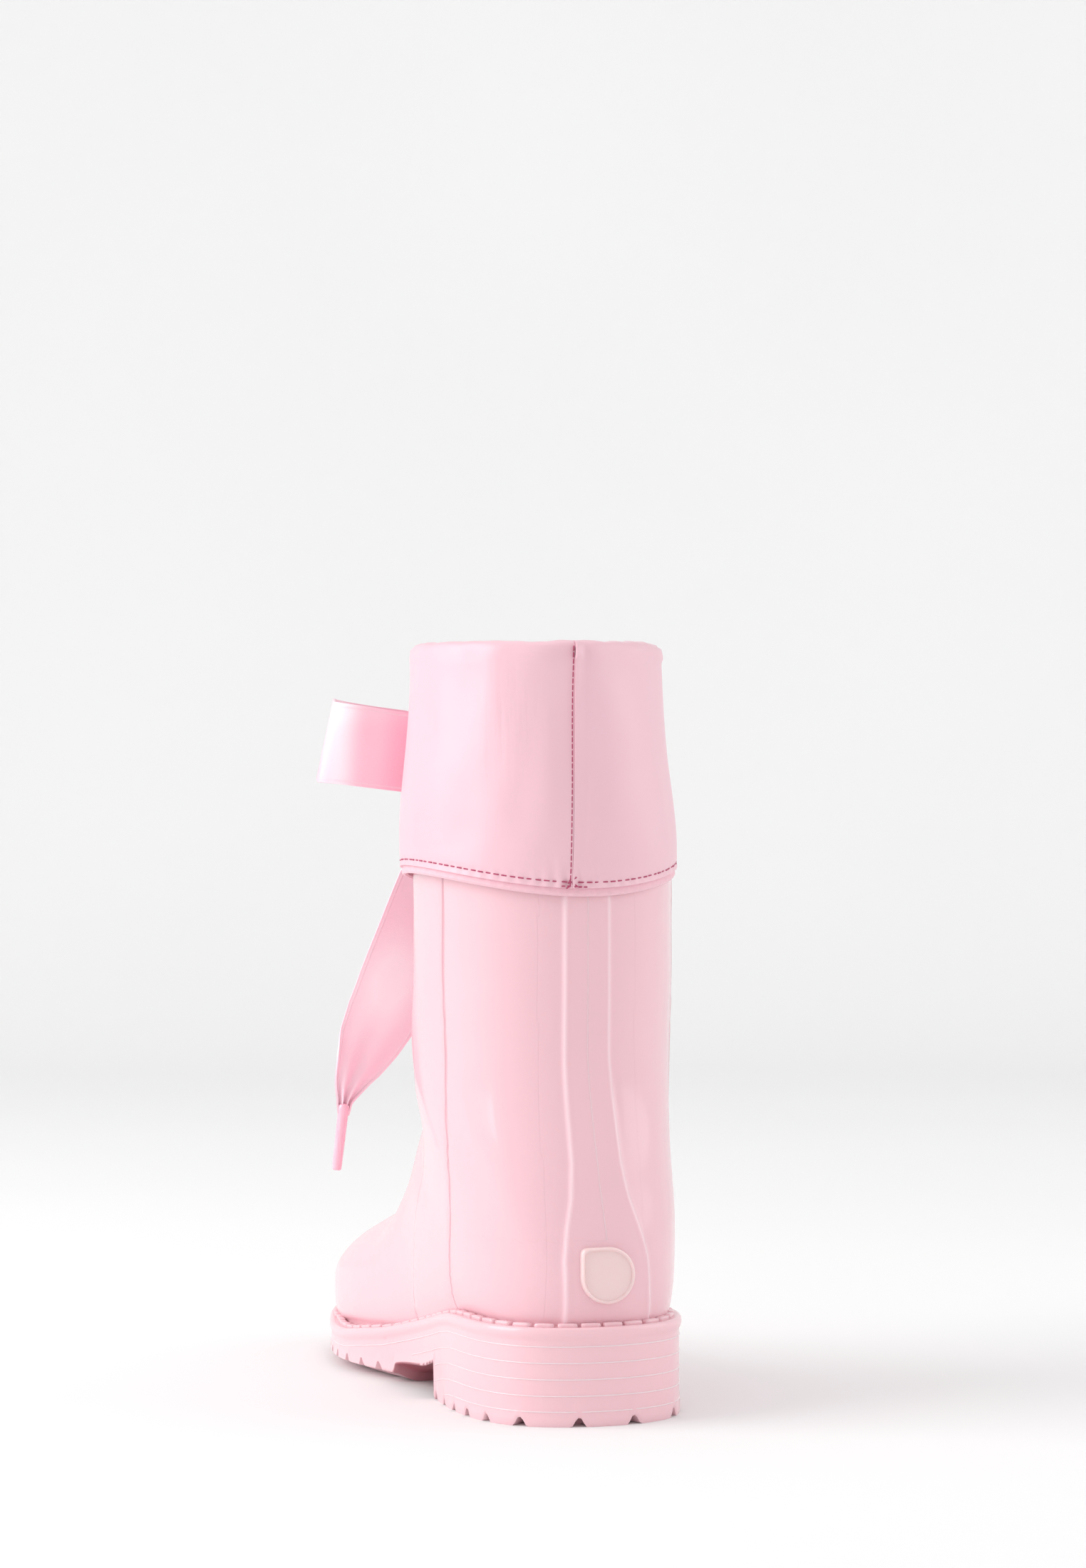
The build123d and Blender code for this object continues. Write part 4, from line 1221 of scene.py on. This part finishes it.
# %% lining of the cuff
# Round the tape's section: inset from the cuff's outside, and height above the hem.
LINING_TOP = 24.0
LINING_RING = [(1.35, LINING_TOP), (1.35, 3.0), (1.2, 0.4), (0.75, -1.0), (0.6, -1.75),
               (0.95, -2.35), (1.6, -2.5), (2.15, -2.0), (2.25, -1.0), (2.25, 3.0),
               (2.25, LINING_TOP)]
LINING_SIDES = 180
lining_points = []
for inset, rise in LINING_RING:
    for turn in turns(LINING_SIDES):
        z = RIM - LINING_TOP if rise == LINING_TOP else hem_height(turn) + rise
        wave = 0.15 * math.cos(turn * 61) if rise < 1 else 0.0
        lining_points.append(cuff_place(turn, bell_half(z) - inset + wave, z))
lining_faces = ring_faces(len(LINING_RING), LINING_SIDES)
last = (len(LINING_RING) - 1) * LINING_SIDES
lining_faces += [(i, last + i, last + (i + 1) % LINING_SIDES, (i + 1) % LINING_SIDES)
                 for i in range(LINING_SIDES)]
lining = report(tidy(new_piece("cuff_lining_tape", lining_points, lining_faces, LINING_TAPE)))

# %% [markdown]
# Sewing: one row of stitches runs above the hem, one up each seam, and a few crossed
# stitches lock their ends.  Each stitch is a small rounded block laid along the sheet.

# %% stitches
def on_cuff(turn, z, side, off=0.0, from_seam=FAR):
    """A point on the outside of the cuff, or off it by a little."""
    push = cuff_push(turn, z, hem_height(turn), side, from_seam)
    return cuff_place(turn, bell_half(z) + push + off, z)


STITCH = row_tree("stitches_along_path", THREAD)


def sewn(name, path, closed, period, length, width):
    return grown(name, STITCH, path, closed,
                 {"Count": round(along(path) / period), "Length": length * MM,
                  "Width": width * MM, "Height": width * MM})


# A stitch's period, length and width.
HEM_ROW, SEAM_ROW, LOCK = (2.6, 1.75, 0.42), (1.9, 1.55, 0.34), (0.9, 1.1, 0.4)
HEM_MARGIN = 1.75
hem_path = [on_cuff(t, hem_height(t) + HEM_MARGIN, -1 if t < seam_turn(HEM_Z) else 1, 0.02)
            for t in np.linspace(-math.pi, math.pi, 721)[:-1]]
rows = [sewn("hem_stitches", hem_path, True, *HEM_ROW)]

heights = np.linspace(RIM - 2.5, hem_height(0) + 1.2, 60)
rows.append(sewn("back_seam_stitches",
                 [on_cuff(seam_turn(z) - 0.014, z, -1, -0.05, 0.4) for z in heights],
                 False, *SEAM_ROW))
rows.append(sewn("front_seam_stitches", [on_cuff(math.pi, z, -1, -0.05) for z in heights],
                 False, *SEAM_ROW))

lock_turn = seam_turn(HEM_Z - 6)
for k, (dx, dz, slope) in enumerate(((0, 2.4, 1), (0.4, 1.4, -1), (-0.5, 0.9, 1), (1.6, 0.5, 0),
                                    (3.2, 0.4, 0), (-1.8, 0.7, 0))):
    turn, z = lock_turn + dx / SEAM_RADIUS, hem_height(0) + dz
    rows.append(sewn(f"lock_{k}", [on_cuff(turn - 0.02, z - 0.6 * slope, 1, 0.25),
                                   on_cuff(turn + 0.02, z + 0.6 * slope, 1, 0.25)],
                     False, *LOCK))
stitches = report(joined("cuff_stitches", rows))

# %% [markdown]
# The ribbon is doubled satin, 25 mm wide.  Each ribbon piece is a strip: a line down its
# middle, a direction across it and a half width that narrows where it is gathered.  The
# strip carries its weave as a UV map, then gets its thickness.

# %% a strip of ribbon
def curve_through(points, count):
    """Evenly spaced points on a smooth curve through the given points."""
    p = np.array(points, dtype=float)
    chord = np.linalg.norm(np.diff(p, axis=0), axis=1)[:, None]
    slope = np.diff(p, axis=0) / chord
    tangent = np.vstack([slope[:1], (slope[:-1] + slope[1:]) / 2, slope[-1:]])
    fine = np.array([hermite(p[i], tangent[i] * chord[i], p[i + 1], tangent[i + 1] * chord[i], t)
                     for i in range(len(chord))
                     for t in np.linspace(0, 1, 40, endpoint=i == len(chord) - 1)])
    length = np.concatenate([[0], np.cumsum(np.linalg.norm(np.diff(fine, axis=0), axis=1))])
    want = np.linspace(0, length[-1], count)
    return np.stack([np.interp(want, length, fine[:, i]) for i in range(fine.shape[1])], axis=1)


def ribbon(name, rows, flip=False, painted_sheen=None):
    """A strip from rows of points across it; its weave map is in metres."""
    rows = np.array(rows)
    count, across = rows.shape[:2]
    middle = rows[:, across // 2]
    run = np.concatenate([[0], np.cumsum(np.linalg.norm(np.diff(middle, axis=0), axis=1))])
    faces = ring_faces(count, across, closed=False)
    if flip:
        faces = [f[::-1] for f in faces]
    piece = new_piece(name, rows.reshape(-1, 3), faces, SATIN, sharp=80)
    weave = piece.data.uv_layers.new(name="weave")
    widths = np.linspace(-RIBBON_HALF, RIBBON_HALF, across)
    for loop in piece.data.loops:
        i, j = divmod(loop.vertex_index, across)
        weave.data[loop.index].uv = (run[i] * MM, widths[j] * MM)
    # these per-point values paint the satin's sheen into its colour
    give_values(piece, "painted_sheen", painted_sheen or [0.0] * (count * across))
    return thicken(piece, RIBBON_THICK)


# %% [markdown]
# A bow loop leaves the knot gathered in pleats, spreads to the ribbon's full width and
# turns back on itself at its far end.  The right loop is the left one seen in a mirror.

# %% bow loops
ACROSS = np.linspace(-1, 1, 21)
LOOP_ROOT, LOOP_TURN = 7.7, 53.6           # where a loop starts, and where it turns back
NECK, NECK_END = 5.6, 3.0                  # half its height beside the knot, and at its end
LOOP_LINE = [(LOOP_ROOT, 1.0), (18, 4.6), (38, 5.6), (50, 3.9), (LOOP_TURN, 0), (50, -4.0),
             (38, -5.6), (18, -4.2), (LOOP_ROOT, -1.0)]      # seen from above, out and back
LOOP_RISE = 5.0


def loop_rows(side):
    path = curve_through([(x, BOW_Y + y) for x, y in LOOP_LINE], 121)
    rows = []
    for k, (x, y) in enumerate(path):
        outward_half = k < len(path) // 2
        out = limited((x - LOOP_ROOT) / (LOOP_TURN - LOOP_ROOT))
        open_up = float(smooth_step(out, 0.0, 0.42))
        neck = NECK_END + (NECK - NECK_END) * float(smooth_step(x, LOOP_ROOT, LOOP_ROOT + 2.5))
        half = neck + (RIBBON_HALF - NECK) * open_up
        z_mid = BOW_Z + LOOP_RISE * out ** 1.3 + (0.7 if outward_half else -0.5)
        row = []
        for v in ACROSS:
            pleat = 1.1 * (1 - open_up) * math.cos(3.2 * math.pi * v + 1.0)
            slant = 5.4 * out ** 3 * v / 2
            curl = 0.8 * out * (v * v - 0.4) * (1 if outward_half else -1)
            wave = 0.3 * math.sin(x * 0.16 + 2.2 * v)
            row.append((side * (x - slant), y + pleat + curl + wave * open_up, z_mid + half * v))
        rows.append(row)
    return rows


def loop_painted_sheen(rows):
    """Painted sheen: paler where the satin turns over its bend, and along a soft fold nearer the
    knot.
    """
    values = []
    for x, _y, z in [place for row in rows for place in row]:
        slanted = abs(x) + 0.10 * (z - BOW_Z)
        values.append(0.85 * hump(slanted - 50.0, 4.6) + 0.3 * hump(slanted - 40.0, 5.0)
                      + 0.2 * hump(z - BOW_Z - 14, 4.0))
    return values


def both_hands(name, rows_of, painted_sheen):
    """A ribbon piece and its mirror image, by hand."""
    pieces = {}
    for side, hand in HANDS:
        rows = rows_of(side)
        pieces[hand] = report(ribbon(name.format(hand), rows, side > 0, painted_sheen(rows)))
    return pieces


loops = both_hands("satin_{}_loop", loop_rows, loop_painted_sheen)

# %% [markdown]
# A tail hangs from the knot and swings out to the side.  Near its end the ribbon is
# rolled together into the clear tip.  Its edges curl slightly forward, and one corner
# folds over where it is gathered.

# %% ribbon tails
TAIL_LINE = [(3.4, 184.5), (9.5, 172), (18.5, 155), (27.5, 134), (34.2, 117), (40.5, 104.5),
             (45.4, 95), (47.8, 88), (48.2, 84)]             # x and height down its middle
TAIL_HALF = ([0, 0.06, 0.2, 0.3, 0.6, 0.7, 0.78, 0.85, 0.91, 0.96, 1.0],
             [2.8, 4.4, 10.2, 12.4, 12.4, 11.8, 10.3, 8.0, 5.0, 2.2, 1.3])


def tail_rows(side):
    middle = curve_through(TAIL_LINE, 97)
    run = np.gradient(middle, axis=0)
    run /= np.linalg.norm(run, axis=1)[:, None]
    rows = []
    for k, ((x, z), (dx, dz)) in enumerate(zip(middle, run)):
        part = k / (len(middle) - 1)
        half = float(np.interp(part, *TAIL_HALF))
        gather = 1 - half / RIBBON_HALF
        row = []
        for v in ACROSS:
            fold = 1.4 * gather * math.cos(2.6 * math.pi * v) * (1 if part < 0.5 else 0.8)
            wave = math.sin(3.0 * part * math.pi + 0.4) * (1 - gather)
            curl = 1.3 * v * v * (1 - gather) * math.cos(2.5 * part)
            roll = 2.2 * hump(part - 0.86, 0.05) * max(v, 0.0)
            row.append((side * (x - dz * half * v), BOW_Y + fold + wave - curl - roll,
                        z + dx * half * v))
        rows.append(row)
    return rows


def tail_painted_sheen(rows):
    """Painted sheen: paler in the belly of the tail and along its outer edge, and paler all over
    as well.
    """
    parts = [(k / (len(rows) - 1), v) for k in range(len(rows)) for v in ACROSS]
    return [0.75 * hump(part - 0.60, 0.13) * hump(v - 0.15, 0.75)
            + 0.45 * hump(part - 0.22, 0.16) * hump(v - 0.4, 0.8) + 0.45 for part, v in parts]


tails = both_hands("satin_{}_tail", tail_rows, tail_painted_sheen)

# %% [markdown]
# The tip of each tail is wrapped in clear film, like the end of a shoelace.  The film is
# a tube that tapers a little, with the step of its overlap running down it.

# %% film tips
AGLET_LONG, AGLET_R = 20.5, 1.62
TIP_SIDES, FILM_LAP = 28, 0.10
# Down the tip: distance from its top, and share of the radius.
TIP_PROFILE = [(-0.4, 0.3), (0.0, 0.86), (0.25, 1.0), (1.2, 1.04), (2.0, 1.0), (6.0, 0.99),
               (12.0, 0.95), (17.0, 0.92), (19.6, 0.9), (20.2, 0.84), (AGLET_LONG, 0.6),
               (AGLET_LONG, 0.2)]


def film_tip(name, side):
    top = Vector((side * 48.0, BOW_Y, 87.2))
    down = Vector((side * 0.12, 0, -1)).normalized()
    level = Vector((0, 1, 0))
    aside = down.cross(level)
    points = []
    for drop, size in TIP_PROFILE:
        for k, turn in enumerate(turns(TIP_SIDES)):
            radius = AGLET_R * size * (1 + FILM_LAP * (1 - k / TIP_SIDES))
            points.append(top + down * drop
                          + (level * math.sin(turn) + aside * math.cos(turn)) * radius)
    return tidy(new_piece(name, points, closed_faces(len(TIP_PROFILE), TIP_SIDES), FILM, sharp=60))


tips = {hand: report(film_tip(f"film_{hand}_tip", side)) for side, hand in HANDS}

# %% [markdown]
# The knot is the ribbon wrapped round its own middle: a plump closed form, pinched at
# its sides, with folds running round it.  Behind the cuff's front the ribbon passes
# from eyelet to eyelet; that run is a strip that follows the cuff.

# %% knot and threaded run
KNOT_MID = [(a + b) / 2 for a, b in zip(KNOT_LOW, KNOT_HIGH)]
KNOT_HALF = [(b - a) / 2 for a, b in zip(KNOT_LOW, KNOT_HIGH)]


KNOT_RINGS, KNOT_SIDES = 41, 80


def knot_points():
    points = []
    for across in [-1 + 2 * r / (KNOT_RINGS - 1) for r in range(KNOT_RINGS)]:
        belly = max(1 - abs(across) ** 3.2, 0.0) ** 0.5 * 0.32 + 0.68
        for turn in turns(KNOT_SIDES):
            c, s = math.cos(turn), math.sin(turn)
            pleat = 0.04 * math.sin(across * 7.5 + 1.1 * s + 0.5)
            size = belly * (1 + pleat) * 0.97
            points.append((KNOT_MID[0] + KNOT_HALF[0] * across * (0.9 + 0.05 * c),
                           KNOT_MID[1] + KNOT_HALF[1] * size * math.copysign(abs(c) ** 0.75, c),
                           KNOT_MID[2] + KNOT_HALF[2] * size * math.copysign(abs(s) ** 0.8, s)))
    return points


knot = new_piece("satin_knot", knot_points(), closed_faces(KNOT_RINGS, KNOT_SIDES), SATIN,
                 sharp=60)
tidy(knot)
weave = knot.data.uv_layers.new(name="weave")
for loop in knot.data.loops:
    place = knot.data.vertices[loop.vertex_index].co
    turn = math.atan2(place.z - KNOT_MID[2] * MM, place.y - KNOT_MID[1] * MM)
    weave.data[loop.index].uv = (turn * 7 * MM, place.x)
report(knot)


RUN_LINE = [(6.6, 0.9), (9.5, 0.85), (12.4, 0.3), (13.2, -1.2), (12.4, -2.9), (9, -3.1),
            (0, -3.1)]                     # x, and distance off the cuff's outside


def run_rows():
    """The ribbon behind the cuff, out through both eyelets and back towards the knot."""
    low, high = box_mm("ribbon_threaded_run")
    half = (high[2] - low[2]) / 2 - 0.1
    line = []
    for x, off in RUN_LINE:
        radius = bell_half(BOW_Z) + off
        line.append((x, SHAFT_MIDDLE + (radius + CUFF_DEEPER) * math.sqrt(1 - (x / radius) ** 2)))
    line += [(-x, y) for x, y in line[:-1][::-1]]
    return [[(x, y, BOW_Z + half * v) for v in np.linspace(-1, 1, 9)]
            for x, y in curve_through(line, 91)]


threaded = report(ribbon("satin_threaded_run", run_rows()))

# %% [markdown]
# The eyelets are true turned parts already, so they stay as they are and only take
# their painted metal.  Everything else is replaced by the pieces above, each riding on
# the body of the node it stands for.

# %% who rides where
for node in ("left_eyelet", "right_eyelet"):
    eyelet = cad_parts[node]
    eyelet.data.materials.clear()
    eyelet.data.materials.append(EYELET_METAL)

STANDS_FOR = [(shell, "boot", "upper_shell", "shell_pvc"), (sock, "boot", "sock_lining", "knit"),
              (footbed, "boot", "footbed", "footbed_foam"),
              (outsole, "boot", "outsole", "sole_pvc"), (badge, "boot", "heel_badge", "badge_pvc"),
              (panels[0], "boot", "cuff_left_panel", "patent"),
              (panels[1], "boot", "cuff_right_panel", "patent"),
              (lining, "boot", "cuff_lining", "lining_cloth"),
              (knot, "boot", "ribbon_knot", "satin"),
              (threaded, "boot", "ribbon_threaded_run", "satin")]
for hand in ("left", "right"):
    STANDS_FOR += [(loops[hand], f"{hand}_loop", f"ribbon_{hand}_loop", "satin"),
                   (tails[hand], f"{hand}_tail", f"ribbon_{hand}_tail", "satin"),
                   (tips[hand], f"{hand}_tail", f"{hand}_aglet", "aglet_film")]
for piece, body, node, slot in STANDS_FOR:
    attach(piece, body)
    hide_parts(node)
for piece in (welt_tabs, wall_lines):
    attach(piece, "boot")
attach(stitches, "boot")
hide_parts("hem_thread", "back_seam_thread", "front_seam_thread")
print(len(STANDS_FOR) + 3, "pieces ride on their bodies")

# %% [markdown]

# %% [markdown]
# The boot stands in a wide shallow bowl of white card, a photographer's sweep that looks
# the same from every side.  A large soft light on the left does most of the work, a
# weaker one on the right and one overhead keep the shadows pale.

# %% sweep, lights and camera
SWEEP_FLAT, SWEEP_CURVE, SWEEP_TOP, SWEEP_SIDES = 1.45, 0.4, 0.95, 72      # metres


def sweep():
    """The bowl of card: a flat floor, a rounded corner and a low wall, all the way round."""
    profile = [(0.001, 0), (0.4, 0), (0.8, 0), (1.2, 0), (SWEEP_FLAT, 0)]
    profile += [(SWEEP_FLAT + SWEEP_CURVE * math.sin(t), SWEEP_CURVE * (1 - math.cos(t)))
                for t in np.linspace(0.15, math.pi / 2, 9)]
    profile += [(SWEEP_FLAT + SWEEP_CURVE, SWEEP_TOP)]
    points = [(r * math.cos(turn) / MM, r * math.sin(turn) / MM, z / MM)
              for r, z in profile for turn in turns(SWEEP_SIDES)]
    faces = ring_faces(len(profile), SWEEP_SIDES) + [tuple(range(SWEEP_SIDES))[::-1]]
    card = Finish("white_card", Roughness=0.9, Specular_IOR_Level=0.1)
    card.feed("Base Color", card.blend(card.grain(3.0, 2.0), (0.86, 0.86, 0.86, 1),
                                       (0.89, 0.89, 0.89, 1)))
    floor = new_piece("card_sweep", points, faces, card.material)


def soft_light(name, place, size, power):
    """A large rectangular light, in metres and watts, that faces the boot."""
    lamp = bpy.data.lights.new(name, "AREA")
    lamp.shape, lamp.size, lamp.size_y = "RECTANGLE", size[0], size[1]
    lamp.energy = power
    light = placed(name, lamp)
    light.location = place
    light.rotation_euler = (AIM - Vector(place)).to_track_quat("-Z", "Y").to_euler()
    light.visible_camera = False


sweep()
AIM = Vector((0, 0.03, 0.12))
soft_light("left_softbox", (-1.3, 0.2, 0.8), (1.2, 1.3), 14.0)
soft_light("right_fill", (1.35, -0.4, 0.8), (1.2, 1.2), 4.6)
soft_light("overhead", (0.1, 0.3, 2.1), (1.6, 1.6), 5)

AIR_LIGHT = 0.72
world = bpy.data.worlds.new("studio_air")
world.use_nodes = True
background = world.node_tree.nodes["Background"]
background.inputs["Color"].default_value = (1, 1, 1, 1)
background.inputs["Strength"].default_value = AIR_LIGHT
bpy.context.scene.world = world

LENS, SENSOR = 92.1, 36.0                  # a short telephoto, in millimetres
BEHIND_HEEL = (-0.4018, -1.133, 0.1875)    # behind and to the left, at the height of the cuff
TURNED = math.radians(19.2)                # off the boot's own axis; the camera stands level
camera_data = bpy.data.cameras.new("camera")
camera_data.lens, camera_data.sensor_width = LENS, SENSOR
camera_data.clip_start, camera_data.clip_end = 0.05, 20.0
camera = placed("camera", camera_data)
camera.location = BEHIND_HEEL
camera.rotation_euler = (math.pi / 2, 0, -TURNED)
bpy.context.scene.camera = camera
view = bpy.context.scene.view_settings
view.view_transform, view.look, view.exposure, view.gamma = "Standard", "None", 0.0, 1.0
